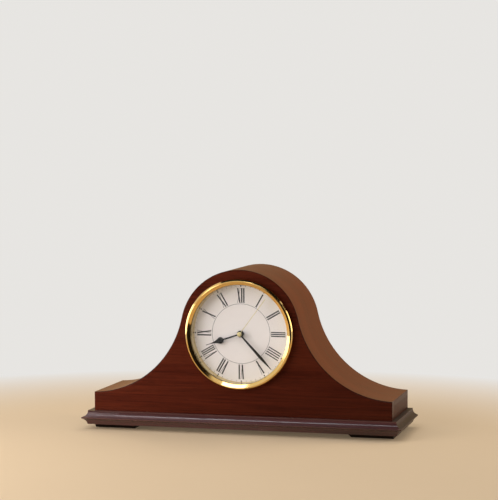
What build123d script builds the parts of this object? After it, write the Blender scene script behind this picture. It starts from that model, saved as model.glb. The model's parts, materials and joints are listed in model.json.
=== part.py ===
from build123d import *
from math import acos, atan2, cos, hypot, pi, radians, sin, sqrt, tan
import os

# Tambour mantel clock, millimetres.
# +Z is up, the dial faces -Y, and the origin lies on the shelf under the middle of the clock.

os.makedirs("parts", exist_ok=True)

# Wooden body
body_width = 409.0
body_depth = 114.4
shoulder_height = 24.5
sweep_overrun = 3.4
arch_border = 7.7
arch_lift = 3.7
bezel_stand = 33.5
front_thickness = 12.0
front_edge_round = 1.2
band_thickness = 7.0
end_thickness = 7.0

# Plinth and feet
plinth_thickness = 18.5
plinth_overhang = 14.1
plinth_ledge = 7.0
cove_drop = 8.7
nose_thickness = 1.6
underside_inset = 6.6
underside_hollow = 1.0
foot_length = 56.0
foot_overhang = 0.6
foot_front_inset = 6.7
foot_back_inset = 8.0
foot_height = 6.0
foot_bevel = 5.0
pad_radius = 9.0
pad_thickness = 1.0
pad_inset = 6.0

# Battens and wood screws
batten_section = 12.0
batten_end_gap = 4.0
block_width = 34.0
block_height = 13.0
base_screw_spacing = 118.0
panel_screw_spacing = 100.0
panel_screw_count = 4
screw_radius = 1.8
screw_head_radius = 3.6
screw_head_height = 2.0
screw_bite = 8.0
slot_width = 0.8
slot_depth = 0.7

# Back panel and its door
panel_thickness = 4.0
panel_inset = 8.0
panel_clearance = 0.3
door_side_room = 15.0
door_top_rise = 29.6
door_sill = 22.0
door_clearance = 0.8
knob_radius = 5.5
knob_neck_radius = 2.6
knob_height = 6.6
knob_head_height = 3.0
knob_edge_gap = 9.0
hinge_height = 24.0
hinge_end_gap = 14.0
leaf_width = 10.0
leaf_thickness = 0.8
knuckle_radius = 1.5
knuckle_gap = 0.2
pin_radius = 0.7
catch_width = 9.0
catch_height = 14.0
catch_depth = 8.0
catch_plate_thickness = 0.8

# Bezel, glass and dial
bezel_lip_radius = 66.2
bezel_lip_thickness = 0.7
bezel_lip_overlap = 0.6
bezel_slope_width = 4.2
bezel_flange_width = 5.8
bezel_height = 7.6
bezel_rim = 1.2
barrel_wall = 1.4
bezel_hole_clearance = 0.2
insert_clearance = 0.1
glass_thickness = 1.6
glass_gap = 1.1
spacer_wall = 2.0
spacer_flare = 1.1
dial_recess = 9.0
dial_thickness = 0.8
pan_clearance = 0.3
pan_thickness = 0.8
pan_flange_width = 7.4
pan_screw_angle = 45.0
pan_screw_radius = 1.2
pan_screw_head_radius = 2.3
pan_screw_head_height = 1.4
pan_screw_bite = 7.0

# Hands, heights measured forward from the dial
second_arbor_radius = 0.6
minute_tube_wall = 0.94
hour_tube_wall = 0.74
bushing_wall = 0.74
running_clearance = 0.06
nut_wall = 1.4
nut_height = 2.4
thread_show = 1.2
hand_thickness = 0.4
hour_hand_gap = 0.8
minute_hand_gap = 1.8
boss_gap = 0.6
boss_foot = 0.7
boss_crown = 1.5
boss_round = 1.4
boss_cap = 0.7
boss_wall = 2.5
eye_wall = 1.9
hour_stem_width = 2.0
hour_bulb_distance = 28.6
hour_bulb_radius = 4.5
hour_bulb_shoulder = 45.0
hour_waist_share = 0.38
hour_waist_width = 2.3
hour_tip_width = 1.1
hour_tip_gap = 15.3
minute_root_width = 1.7
minute_wide_distance = 44.0
minute_wide_width = 4.0
minute_tip_width = 0.5
minute_tip_gap = 1.7
second_hand_width = 0.7
second_tip_gap = 5.7

# Time shown at rest, degrees clockwise from twelve
hour_angle = 251.4
minute_angle = 137.0
second_angle = 37.0

# Movement case, depths measured back from its front face
washer_thickness = 1.0
washer_width = 5.8
movement_wall = 1.5
movement_corner = 2.0
wheel_room = 1.12
cell_radius = 7.25
cell_length = 50.5
cell_nub_radius = 2.7
cell_nub_length = 1.0
cell_clearance = 0.4
cell_end_room = 3.25
bay_floor_thickness = 2.7
contact_thickness = 0.4
contact_half_height = 5.5
contact_foot = 1.65
contact_land = 1.1

# Wheel work
first_wheel_depth = 2.0
wheel_layers = 7
wheel_thickness = 1.1
wheel_gap = 0.4
tooth_addendum = 0.7
tooth_dedendum = 0.98
tooth_pressure_angle = 25.0
tooth_backlash = 0.12
train_module = 0.4
motion_module = 0.5
second_teeth = 60
second_pinion_teeth = 8
third_teeth = 60
third_pinion_teeth = 8
centre_teeth = 64
cannon_teeth = 12
minute_wheel_teeth = 36
minute_pinion_teeth = 10
hour_teeth = 40
setting_teeth = 12
fifth_teeth = 40
fifth_pinion_teeth = 10
rotor_pinion_teeth = 8
third_direction = 90.0
minute_direction = 180.0
fifth_direction = 0.0
rotor_direction = 90.0
setting_direction = 240.0
arbor_radius = 0.7
pivot_radius = 0.4
pivot_depth = 1.0
arbor_end_play = 0.1
stud_radius = 0.9
clutch_washer_radius = 3.4
clutch_play = 0.05

# Stepping motor and bridge
magnet_radius = 3.0
magnet_length = 2.4
magnet_gap = 0.5
magnet_end_room = 1.0
stator_thickness = 1.4
stator_arbor_gap = 1.3
stator_leg = 3.0
stator_bar_half = 4.2
core_width = 3.6
coil_radius = 3.2
coil_bridge_gap = 0.6
coil_clearance = 0.1
coil_end_gap = 0.4
bridge_thickness = 1.3
bridge_margin = 2.6
pillar_radius = 1.6
pillar_clearance = 1.0
centre_pillar_direction = 232.0
third_pillar_direction = 186.0
fifth_pillar_direction = 335.0
post_radius = 1.5
post_pin_radius = 0.7

# Circuit board and controls at the back of the movement
board_bridge_gap = 1.3
board_thickness = 1.2
board_edge_gap = 1.5
board_hole_clearance = 0.7
peg_radius = 1.8
peg_edge = 2.4
chip_size = 9.0
chip_height = 1.2
can_radius = 1.1
can_length = 6.0
pot_size = 10.0
pot_x = -15.0
switch_x = 13.0
control_rise = 15.0
control_height = 3.7
control_room = 0.6
switch_end_wall = 2.35
switch_side_wall = 1.65
switch_travel = 3.0
lever_length = 4.0
lever_width = 2.4
lever_clearance = 0.15
lever_reach = 3.0
lever_round = 0.6
control_shaft_radius = 1.5
volume_knob_radius = 6.0
setting_knob_radius = 6.6
control_knob_height = 5.0
control_knob_gap = 0.5
knob_flutes = 18
knob_flute_radius = 0.5

# Chime speaker on the floor of the case
speaker_x = 98.0
speaker_flange_thickness = 1.4
speaker_corner = 6.0
speaker_hole_inset = 5.0
speaker_mouth_radius = 19.0
speaker_rim = 4.0
speaker_neck_radius = 11.0
speaker_basket_height = 11.0
speaker_wall = 1.2
cone_throat_radius = 6.5
cone_thickness = 0.6
cone_edge_gap = 0.3
magnet_can_radius = 13.0
magnet_can_height = 8.0
sound_hole_radius = 2.6
sound_hole_ring = 12.0
sound_hole_count = 8
terminal_height = 7.0
terminal_width = 12.0
terminal_thickness = 3.0

# Dial insert and hands worked out from the sight ring
barrel_inner = bezel_lip_radius + bezel_lip_overlap
barrel_radius = barrel_inner + barrel_wall
bezel_radius = barrel_radius + bezel_flange_width
bezel_crest_radius = bezel_lip_radius + bezel_slope_width
insert_radius = barrel_inner - insert_clearance
spacer_inner = insert_radius - spacer_wall
pan_radius = insert_radius - pan_clearance
minute_tube_radius = second_arbor_radius + running_clearance + minute_tube_wall
hour_tube_radius = minute_tube_radius + running_clearance + hour_tube_wall
bushing_radius = hour_tube_radius + running_clearance + bushing_wall
bushing_height = nut_height + thread_show
hour_hand_height = bushing_height + hour_hand_gap
minute_hand_height = hour_hand_height + hand_thickness + minute_hand_gap
boss_base_height = minute_hand_height + hand_thickness + boss_gap
second_hand_height = boss_base_height + boss_foot
boss_height = second_hand_height + hand_thickness + boss_crown
second_arbor_height = boss_height - boss_cap
hour_hand_length = spacer_inner - hour_tip_gap
minute_hand_length = spacer_inner - minute_tip_gap
second_hand_length = spacer_inner - second_tip_gap

# Places in the case worked out from those sizes
arch_radius = bezel_radius + arch_border
dial_rise = bezel_radius + bezel_stand
half_width = body_width / 2
overall_depth = body_depth + plinth_overhang
front_y = plinth_overhang - overall_depth / 2
back_y = overall_depth / 2
plinth_bottom = pad_thickness + foot_height
plinth_top = plinth_bottom + plinth_thickness
shoulder_z = plinth_top + shoulder_height
dial_z = plinth_top + dial_rise
arch_z = dial_z + arch_lift
panel_back_y = front_y + front_thickness
sweep_x = half_width + sweep_overrun
sweep_drop = arch_z - shoulder_z
sweep_radius = (sweep_x**2 + sweep_drop**2 - arch_radius**2) / (2 * (arch_radius + sweep_drop))
inner_half_width = half_width - end_thickness


def dial_plane(y):
    # Upright plane at depth y, seen from the front: local x is +X and local y is +Z
    return Plane.XZ.offset(-y)


def rod(x, z, radius, y_start, y_end, mode=Mode.ADD):
    # Round bar along the depth
    with BuildSketch(dial_plane(y_start)) as section:
        with Locations((x, z)):
            Circle(radius)
    extrude(section.sketch, amount=y_start - y_end, mode=mode)


def post(x, y, radius, z_start, z_end, mode=Mode.ADD):
    # Round bar standing upright
    with BuildSketch(Plane.XY.offset(z_start)) as section:
        with Locations((x, y)):
            Circle(radius)
    extrude(section.sketch, amount=z_end - z_start, mode=mode)


def block(x_low, x_high, y_low, y_high, z_low, z_high, mode=Mode.ADD):
    with BuildSketch(dial_plane(y_low)) as section:
        with Locations(((x_low + x_high) / 2, (z_low + z_high) / 2)):
            Rectangle(x_high - x_low, z_high - z_low)
    extrude(section.sketch, amount=y_low - y_high, mode=mode)


def case_profile(y, inset, half_span, floor):
    # Front view of the case: an arch that runs through two hollow sweeps into low shoulders,
    # moved in by inset and cut at half_span on either side and at floor below
    centre_z = shoulder_z + sweep_radius
    reach = arch_radius + sweep_radius
    toward = Vector(sweep_x, centre_z - arch_z) / reach
    arch = arch_radius - inset
    sweep = sweep_radius + inset
    centre = Vector(sweep_x, centre_z)
    join = Vector(0, arch_z) + toward * arch
    shoulder = Vector(half_width, centre_z - sqrt(sweep**2 - sweep_overrun**2))
    middle = centre + ((join - centre).normalized() + (shoulder - centre).normalized()).normalized() * sweep
    with BuildSketch(dial_plane(y)) as profile:
        with BuildLine():
            Polyline(
                (-shoulder.X, shoulder.Y),
                (-half_width, plinth_top),
                (half_width, plinth_top),
                (shoulder.X, shoulder.Y),
            )
            ThreePointArc((shoulder.X, shoulder.Y), (middle.X, middle.Y), (join.X, join.Y))
            ThreePointArc((join.X, join.Y), (0, arch_z + arch), (-join.X, join.Y))
            ThreePointArc((-join.X, join.Y), (-middle.X, middle.Y), (-shoulder.X, shoulder.Y))
        make_face()
        with Locations((0, floor)):
            Rectangle(
                2 * half_span,
                arch_z + arch_radius - plinth_top,
                align=(Align.CENTER, Align.MIN),
                mode=Mode.INTERSECT,
            )
    return profile.sketch


def moulding(face, outward):
    # Edge of the plinth from its flat top down: a cove, a thin nose and a hollow underside
    nose = face + outward * plinth_overhang
    ledge = face + outward * plinth_ledge
    cove_low = plinth_top - cove_drop
    nose_low = cove_low - nose_thickness
    foot = nose - outward * underside_inset
    cove_x = nose - (nose - ledge) * sqrt(0.5)
    cove_z = plinth_top - cove_drop * sqrt(0.5)
    hollow_x = (nose + foot) / 2 - outward * underside_hollow
    hollow_z = (nose_low + plinth_bottom) / 2 + underside_hollow
    ThreePointArc((ledge, plinth_top), (cove_x, cove_z), (nose, cove_low))
    Line((nose, cove_low), (nose, nose_low))
    ThreePointArc((nose, nose_low), (hollow_x, hollow_z), (foot, plinth_bottom))


def upright_screw(x, y, head_z, tip_z, mode=Mode.ADD):
    # Countersunk wood screw driven upwards, or the hole that it fills
    post(x, y, screw_radius, head_z, tip_z, mode)
    with BuildSketch(Plane.XY.offset(head_z)) as head:
        with Locations((x, y)):
            Circle(screw_head_radius)
    with BuildSketch(Plane.XY.offset(head_z + screw_head_height)) as neck:
        with Locations((x, y)):
            Circle(screw_radius)
    loft([head.sketch, neck.sketch], mode=mode)


def level_screw(x, z, head_y, tip_y, mode=Mode.ADD):
    # Countersunk wood screw driven forwards from the back, or the hole that it fills
    rod(x, z, screw_radius, tip_y, head_y, mode)
    with BuildSketch(dial_plane(head_y)) as head:
        with Locations((x, z)):
            Circle(screw_head_radius)
    with BuildSketch(dial_plane(head_y - screw_head_height)) as neck:
        with Locations((x, z)):
            Circle(screw_radius)
    loft([head.sketch, neck.sketch], mode=mode)


def tooth_points(x, z, teeth, module, phase):
    # Outline of a spur gear centred at x, z, with one tooth pointing at the angle phase
    pitch_radius = teeth * module / 2
    pressure = radians(tooth_pressure_angle)
    base_radius = pitch_radius * cos(pressure)
    tip_radius = pitch_radius + tooth_addendum * module
    root_radius = pitch_radius - tooth_dedendum * module
    half_tooth = pi / (2 * teeth) - tooth_backlash / (2 * pitch_radius)

    def half_angle(radius):
        lean = acos(min(1.0, base_radius / radius))
        return half_tooth + (tan(pressure) - pressure) - (tan(lean) - lean)

    flank = [root_radius, pitch_radius, tip_radius]
    points = []
    for tooth in range(teeth):
        middle = phase + 2 * pi * tooth / teeth
        rising = [(radius, middle - half_angle(radius)) for radius in flank]
        falling = [(radius, middle + half_angle(radius)) for radius in reversed(flank)]
        points += [(x + radius * cos(angle), z + radius * sin(angle)) for radius, angle in rising + falling]
    return points


def gear(place, teeth, module, phase, y_start, y_end):
    with BuildSketch(dial_plane(y_start)) as section:
        with BuildLine():
            Polyline(*tooth_points(place[0], place[1], teeth, module, phase), close=True)
        make_face()
    extrude(section.sketch, amount=y_start - y_end)


def meshing_phase(place, teeth, phase, other_place, other_teeth):
    # Phase of the second gear that puts one of its gaps on a tooth of the first
    direction = atan2(other_place[1] - place[1], other_place[0] - place[0])
    share = (direction - phase) * teeth / (2 * pi)
    return direction + pi - (0.5 - share) * 2 * pi / other_teeth


def from_axis(place, distance, direction):
    return (place[0] + distance * cos(radians(direction)), place[1] + distance * sin(radians(direction)))


def fluted_knob(place, radius, y_start, y_end):
    # Round control knob with a milled edge
    rod(place[0], place[1], radius, y_start, y_end)
    with BuildSketch(dial_plane(y_start)) as flutes:
        with Locations((place[0], place[1])):
            with PolarLocations(radius, knob_flutes):
                Circle(knob_flute_radius)
    extrude(flutes.sketch, amount=y_start - y_end, mode=Mode.SUBTRACT)


# Front board, sawn to the outline, with a round hole for the dial insert
dial_hole_radius = barrel_radius + bezel_hole_clearance
pan_screw_ring = (dial_hole_radius + pan_radius - pan_thickness + pan_flange_width) / 2
pan_screw_places = [
    from_axis((0, dial_z), pan_screw_ring, pan_screw_angle + 90 * corner) for corner in range(4)
]
with BuildPart() as front_panel:
    extrude(case_profile(front_y, 0, half_width, plinth_top), amount=-front_thickness)
    rim = front_panel.faces().sort_by(Axis.Y)[0].outer_wire().edges()
    fillet(rim.filter_by(lambda edge: edge.center().Z > plinth_top + front_edge_round), front_edge_round)
    rod(0, dial_z, dial_hole_radius, front_y, panel_back_y, Mode.SUBTRACT)
    for screw_x, screw_z in pan_screw_places:
        rod(screw_x, screw_z, pan_screw_radius, panel_back_y - pan_screw_bite, panel_back_y, Mode.SUBTRACT)
front_panel.part.label = "front_panel"
export_step(front_panel.part, "parts/front_panel.step")

# Bent top of the case, from shoulder to shoulder
with BuildPart() as top_band:
    extrude(case_profile(panel_back_y, 0, half_width, plinth_top), amount=panel_back_y - back_y)
    extrude(
        case_profile(panel_back_y, band_thickness, half_width, plinth_top),
        amount=panel_back_y - back_y,
        mode=Mode.SUBTRACT,
    )
top_band.part.label = "top_band"
export_step(top_band.part, "parts/top_band.step")


def end_panel(side):
    # Short upright end below the band, fitted to its underside
    extrude(case_profile(panel_back_y, band_thickness, half_width, plinth_top), amount=panel_back_y - back_y)
    outer = side * half_width
    inner = side * inner_half_width
    block(min(outer, inner), max(outer, inner), panel_back_y, back_y, plinth_top, dial_z, Mode.INTERSECT)


with BuildPart() as left_end_panel:
    end_panel(-1)
left_end_panel.part.label = "left_end_panel"
export_step(left_end_panel.part, "parts/left_end_panel.step")

with BuildPart() as right_end_panel:
    end_panel(1)
right_end_panel.part.label = "right_end_panel"
export_step(right_end_panel.part, "parts/right_end_panel.step")

# Places of the screws that hold the base together
back_face = back_y - panel_inset
back_inner = back_face - panel_thickness
front_batten_y = panel_back_y + batten_section / 2
floor_batten_y = back_inner - batten_section / 2
base_screw_places = [
    (side * base_screw_spacing, y) for side in (-1, 0, 1) for y in (front_batten_y, floor_batten_y)
]
base_screw_tip = plinth_top + screw_bite
foot_outer = half_width + foot_overhang
foot_inner = foot_outer - foot_length
foot_middle = (foot_outer + foot_inner) / 2
foot_front = front_y + foot_front_inset
foot_back = back_y - foot_back_inset
pad_front = foot_front + pad_inset + pad_radius
pad_back = foot_back - pad_inset - pad_radius
foot_screw_spread = (pad_back - pad_front) / 4
foot_screw_middle = (pad_back + pad_front) / 2
foot_screw_places = [
    (side * foot_middle, foot_screw_middle + end * foot_screw_spread) for side in (-1, 1) for end in (-1, 1)
]
foot_screw_tip = plinth_bottom + screw_bite
speaker_y = (panel_back_y + back_inner) / 2
speaker_flange = 2 * (speaker_mouth_radius + speaker_rim)
sound_holes = [(speaker_x, speaker_y)]
for hole in range(sound_hole_count):
    sound_holes.append(from_axis((speaker_x, speaker_y), sound_hole_ring, 360 / sound_hole_count * hole))
speaker_screw_reach = speaker_flange / 2 - speaker_hole_inset
speaker_screw_places = [
    (speaker_x + side * speaker_screw_reach, speaker_y + end * speaker_screw_reach)
    for side in (-1, 1)
    for end in (-1, 1)
]
speaker_screw_head_z = plinth_top + speaker_flange_thickness
speaker_screw_tip = plinth_top - screw_bite

# Moulded plinth: its front moulding returns along both ends and it is cut off flush at the back
with BuildPart() as plinth:
    with BuildSketch(Plane.YZ) as side_view:
        with BuildLine():
            moulding(front_y, -1)
            Polyline(
                (front_y - plinth_overhang + underside_inset, plinth_bottom),
                (back_y, plinth_bottom),
                (back_y, plinth_top),
                (front_y - plinth_ledge, plinth_top),
            )
        make_face()
    extrude(amount=half_width + plinth_overhang, both=True)
    with BuildSketch(dial_plane(front_y - plinth_overhang)) as front_view:
        with BuildLine():
            ledge_end = half_width + plinth_ledge
            lower_end = half_width + plinth_overhang - underside_inset
            moulding(half_width, 1)
            moulding(-half_width, -1)
            Line((-ledge_end, plinth_top), (ledge_end, plinth_top))
            Line((-lower_end, plinth_bottom), (lower_end, plinth_bottom))
        make_face()
    extrude(amount=-overall_depth, mode=Mode.INTERSECT)
    for screw_x, screw_y in base_screw_places:
        upright_screw(screw_x, screw_y, plinth_bottom, plinth_top, Mode.SUBTRACT)
    for screw_x, screw_y in foot_screw_places:
        post(screw_x, screw_y, screw_radius, plinth_bottom, foot_screw_tip, Mode.SUBTRACT)
    for hole_x, hole_y in sound_holes:
        post(hole_x, hole_y, sound_hole_radius, plinth_bottom, plinth_top, Mode.SUBTRACT)
    for screw_x, screw_y in speaker_screw_places:
        post(screw_x, screw_y, screw_radius, speaker_screw_tip, plinth_top, Mode.SUBTRACT)
plinth.part.label = "plinth"
export_step(plinth.part, "parts/plinth.step")


def runner_foot(side):
    # Low runner that slopes in towards the shelf at its front, its back and its inner side
    middle_y = (foot_front + foot_back) / 2
    foot_depth = foot_back - foot_front
    with BuildSketch(Plane.XY.offset(pad_thickness)) as sole:
        with Locations((side * foot_middle, middle_y)):
            Rectangle(foot_length, foot_depth)
    with BuildSketch(Plane.XY.offset(plinth_bottom)) as seat:
        with Locations((side * (foot_middle - foot_bevel / 2), middle_y)):
            Rectangle(foot_length + foot_bevel, foot_depth + 2 * foot_bevel)
    loft([sole.sketch, seat.sketch])
    for screw_x, screw_y in foot_screw_places:
        if screw_x * side > 0:
            upright_screw(screw_x, screw_y, pad_thickness, plinth_bottom, Mode.SUBTRACT)


with BuildPart() as left_foot:
    runner_foot(-1)
left_foot.part.label = "left_foot"
export_step(left_foot.part, "parts/left_foot.step")

with BuildPart() as right_foot:
    runner_foot(1)
right_foot.part.label = "right_foot"
export_step(right_foot.part, "parts/right_foot.step")

with BuildPart() as felt_pads:
    for side in (-1, 1):
        for pad_y in (pad_front, pad_back):
            post(side * foot_middle, pad_y, pad_radius, 0, pad_thickness)
felt_pads.part.label = "felt_pads"
export_step(felt_pads.part, "parts/felt_pads.step")

# Screws through the plinth into the battens, and through the feet into the plinth
with BuildPart() as base_screws:
    for screw_x, screw_y in base_screw_places:
        upright_screw(screw_x, screw_y, plinth_bottom, base_screw_tip)
    for screw_x, screw_y in foot_screw_places:
        upright_screw(screw_x, screw_y, pad_thickness, foot_screw_tip)
base_screws.part.label = "base_screws"
export_step(base_screws.part, "parts/base_screws.step")

# Battens on the floor of the case, behind the front board and in front of the back panel
batten_end = inner_half_width - batten_end_gap
batten_top = plinth_top + batten_section
panel_screw_z = plinth_top + batten_section / 2
panel_screw_places = [
    (panel_screw_spacing * (step - (panel_screw_count - 1) / 2), panel_screw_z)
    for step in range(panel_screw_count)
]
block_top = arch_z + arch_radius - band_thickness
top_screw_place = (0, block_top - block_height / 2)
panel_screw_tip = back_inner - screw_bite
with BuildPart() as front_batten:
    block(-batten_end, batten_end, panel_back_y, panel_back_y + batten_section, plinth_top, batten_top)
    for screw_x, screw_y in base_screw_places:
        post(screw_x, screw_y, screw_radius, plinth_top, base_screw_tip, Mode.SUBTRACT)
front_batten.part.label = "front_batten"
export_step(front_batten.part, "parts/front_batten.step")

with BuildPart() as floor_batten:
    block(-batten_end, batten_end, back_inner - batten_section, back_inner, plinth_top, batten_top)
    for screw_x, screw_y in base_screw_places:
        post(screw_x, screw_y, screw_radius, plinth_top, base_screw_tip, Mode.SUBTRACT)
    for screw_x, screw_z in panel_screw_places:
        rod(screw_x, screw_z, screw_radius, panel_screw_tip, back_inner, Mode.SUBTRACT)
floor_batten.part.label = "floor_batten"
export_step(floor_batten.part, "parts/floor_batten.step")

# Block under the crown of the band that takes the top screw of the back panel
with BuildPart() as top_block:
    extrude(
        case_profile(back_inner - batten_section, band_thickness, block_width / 2, block_top - block_height),
        amount=-batten_section,
    )
    rod(top_screw_place[0], top_screw_place[1], screw_radius, panel_screw_tip, back_inner, Mode.SUBTRACT)
top_block.part.label = "top_block"
export_step(top_block.part, "parts/top_block.step")

# Back panel, set in from the rear edge of the case, with an opening for the door
sill_z = plinth_top + door_sill
half_opening = arch_radius - band_thickness - door_side_room
lintel_z = dial_z + door_top_rise
with BuildPart() as back_panel:
    extrude(
        case_profile(
            back_inner,
            band_thickness + panel_clearance,
            inner_half_width - panel_clearance,
            plinth_top + panel_clearance,
        ),
        amount=-panel_thickness,
    )
    block(-half_opening, half_opening, back_inner, back_face, sill_z, lintel_z, Mode.SUBTRACT)
    for screw_x, screw_z in panel_screw_places + [top_screw_place]:
        level_screw(screw_x, screw_z, back_face, back_inner, Mode.SUBTRACT)
back_panel.part.label = "back_panel"
export_step(back_panel.part, "parts/back_panel.step")

with BuildPart() as panel_screws:
    for screw_x, screw_z in panel_screw_places + [top_screw_place]:
        level_screw(screw_x, screw_z, back_face, panel_screw_tip)
        block(
            screw_x - screw_head_radius,
            screw_x + screw_head_radius,
            back_face - slot_depth,
            back_face,
            screw_z - slot_width / 2,
            screw_z + slot_width / 2,
            Mode.SUBTRACT,
        )
panel_screws.part.label = "panel_screws"
export_step(panel_screws.part, "parts/panel_screws.step")

# Door in the back panel, with a low brass knob and a steel strike for the magnetic catch
strike_x = half_opening - door_clearance
door_middle_z = (sill_z + lintel_z) / 2
knob_x = strike_x - knob_edge_gap
knob_head_y = back_face + knob_height - knob_head_height
with BuildPart() as back_door:
    block(-strike_x, strike_x, back_inner, back_face, sill_z + door_clearance, lintel_z - door_clearance)
back_door.part.label = "back_door"
export_step(back_door.part, "parts/back_door.step")

with BuildPart() as door_knob:
    rod(knob_x, door_middle_z, knob_neck_radius, back_face, knob_head_y)
    rod(knob_x, door_middle_z, knob_radius, knob_head_y, knob_head_y + knob_head_height)
    fillet(door_knob.edges().group_by(Axis.Y)[-1], knob_head_height / 2)
door_knob.part.label = "door_knob"
export_step(door_knob.part, "parts/door_knob.step")

with BuildPart() as catch_plate:
    block(
        strike_x - catch_width,
        strike_x,
        back_inner - catch_plate_thickness,
        back_inner,
        door_middle_z - catch_height / 2,
        door_middle_z + catch_height / 2,
    )
catch_plate.part.label = "catch_plate"
export_step(catch_plate.part, "parts/catch_plate.step")

with BuildPart() as catch_magnet:
    magnet_face = back_inner - catch_plate_thickness
    block(
        strike_x - catch_width,
        half_opening + catch_width,
        magnet_face - catch_depth,
        magnet_face,
        door_middle_z - catch_height / 2,
        door_middle_z + catch_height / 2,
    )
    block(
        half_opening,
        half_opening + catch_width,
        magnet_face,
        back_inner,
        door_middle_z - catch_height / 2,
        door_middle_z + catch_height / 2,
    )
catch_magnet.part.label = "catch_magnet"
export_step(catch_magnet.part, "parts/catch_magnet.step")

# Two butt hinges on the back of the door, their pins fixed in the outer knuckles
hinge_x = -half_opening + door_clearance / 2
hinge_y = back_face + knuckle_radius
hinge_bottoms = [sill_z + hinge_end_gap, lintel_z - hinge_end_gap - hinge_height]
knuckle_length = hinge_height / 3
leaf_start = knuckle_radius + knuckle_gap
leaf_end = knuckle_radius + leaf_width


def hinge_leaf(side, low_z, knuckles, bore):
    # One leaf on the side -1 or 1 of the pin, with the knuckles that belong to it
    near = hinge_x + side * leaf_start
    far = hinge_x + side * leaf_end
    block(
        min(near, far), max(near, far), back_face, back_face + leaf_thickness, low_z, low_z + hinge_height
    )
    for place in knuckles:
        start = low_z + place * knuckle_length + (knuckle_gap / 2 if place > 0 else 0)
        end = low_z + (place + 1) * knuckle_length - (knuckle_gap / 2 if place < 2 else 0)
        block(min(hinge_x, near), max(hinge_x, near), back_face, back_face + leaf_thickness, start, end)
        post(hinge_x, hinge_y, knuckle_radius, start, end)
    post(hinge_x, hinge_y, bore, low_z, low_z + hinge_height, Mode.SUBTRACT)


with BuildPart() as frame_hinge_leaves:
    for low_z in hinge_bottoms:
        hinge_leaf(-1, low_z, (0, 2), pin_radius)
frame_hinge_leaves.part.label = "frame_hinge_leaves"
export_step(frame_hinge_leaves.part, "parts/frame_hinge_leaves.step")

with BuildPart() as door_hinge_leaves:
    for low_z in hinge_bottoms:
        hinge_leaf(1, low_z, (1,), pin_radius + running_clearance)
door_hinge_leaves.part.label = "door_hinge_leaves"
export_step(door_hinge_leaves.part, "parts/door_hinge_leaves.step")

with BuildPart() as hinge_pins:
    for low_z in hinge_bottoms:
        post(hinge_x, hinge_y, pin_radius, low_z, low_z + hinge_height)
hinge_pins.part.label = "hinge_pins"
export_step(hinge_pins.part, "parts/hinge_pins.step")

# Dial insert: bezel, glass, spacer ring, dial and the pan that carries them
dial_front_y = front_y + dial_recess
dial_back_y = dial_front_y + dial_thickness
glass_back_y = dial_front_y - boss_height - glass_gap
glass_front_y = glass_back_y - glass_thickness
lip_front_y = glass_front_y - bezel_lip_thickness
crest_y = front_y - bezel_height
rim_y = front_y - bezel_rim
with BuildPart() as bezel:
    with BuildSketch(Plane.XY.offset(dial_z)) as bezel_section:
        with BuildLine():
            Polyline((barrel_radius, front_y), (bezel_radius, front_y), (bezel_radius, rim_y))
            ThreePointArc(
                (bezel_radius, rim_y),
                (
                    bezel_crest_radius + (bezel_radius - bezel_crest_radius) * sqrt(0.5),
                    rim_y + (crest_y - rim_y) * sqrt(0.5),
                ),
                (bezel_crest_radius, crest_y),
            )
            Polyline(
                (bezel_crest_radius, crest_y),
                (bezel_lip_radius, lip_front_y),
                (bezel_lip_radius, glass_front_y),
                (barrel_inner, glass_front_y),
                (barrel_inner, dial_back_y),
                (barrel_radius, dial_back_y),
                (barrel_radius, front_y),
            )
        make_face()
    revolve(axis=Axis((0, 0, dial_z), (0, 1, 0)))
bezel.part.label = "bezel"
export_step(bezel.part, "parts/bezel.step")

with BuildPart() as crystal:
    rod(0, dial_z, insert_radius, glass_front_y, glass_back_y)
crystal.part.label = "crystal"
export_step(crystal.part, "parts/crystal.step")

# The spacer ring opens out from the dial towards the glass
with BuildPart() as spacer_ring:
    with BuildSketch(Plane.XY.offset(dial_z)) as spacer_section:
        with BuildLine():
            Polyline(
                (spacer_inner, dial_front_y),
                (insert_radius, dial_front_y),
                (insert_radius, glass_back_y),
                (spacer_inner + spacer_flare, glass_back_y),
                close=True,
            )
        make_face()
    revolve(axis=Axis((0, 0, dial_z), (0, 1, 0)))
spacer_ring.part.label = "spacer_ring"
export_step(spacer_ring.part, "parts/spacer_ring.step")

with BuildPart() as dial:
    rod(0, dial_z, insert_radius, dial_front_y, dial_back_y)
    rod(0, dial_z, bushing_radius + insert_clearance, dial_front_y, dial_back_y, Mode.SUBTRACT)
dial.part.label = "dial"
export_step(dial.part, "parts/dial.step")

pan_back_y = dial_back_y + pan_thickness
flange_back_y = panel_back_y + pan_thickness
pan_inner = pan_radius - pan_thickness
with BuildPart() as dial_pan:
    rod(0, dial_z, pan_radius, dial_back_y, flange_back_y)
    rod(0, dial_z, pan_inner + pan_flange_width, panel_back_y, flange_back_y)
    rod(0, dial_z, pan_inner, pan_back_y, flange_back_y, Mode.SUBTRACT)
    rod(0, dial_z, bushing_radius + insert_clearance, dial_back_y, pan_back_y, Mode.SUBTRACT)
    for screw_x, screw_z in pan_screw_places:
        rod(screw_x, screw_z, pan_screw_radius, panel_back_y, flange_back_y, Mode.SUBTRACT)
dial_pan.part.label = "dial_pan"
export_step(dial_pan.part, "parts/dial_pan.step")

pan_head_y = flange_back_y + pan_screw_head_height
with BuildPart() as pan_screws:
    for screw_x, screw_z in pan_screw_places:
        rod(screw_x, screw_z, pan_screw_radius, panel_back_y - pan_screw_bite, flange_back_y)
        rod(screw_x, screw_z, pan_screw_head_radius, flange_back_y, pan_head_y)
        block(
            screw_x - pan_screw_head_radius,
            screw_x + pan_screw_head_radius,
            pan_head_y - slot_depth,
            pan_head_y,
            screw_z - slot_width / 2,
            screw_z + slot_width / 2,
            Mode.SUBTRACT,
        )
pan_screws.part.label = "pan_screws"
export_step(pan_screws.part, "parts/pan_screws.step")

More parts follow.
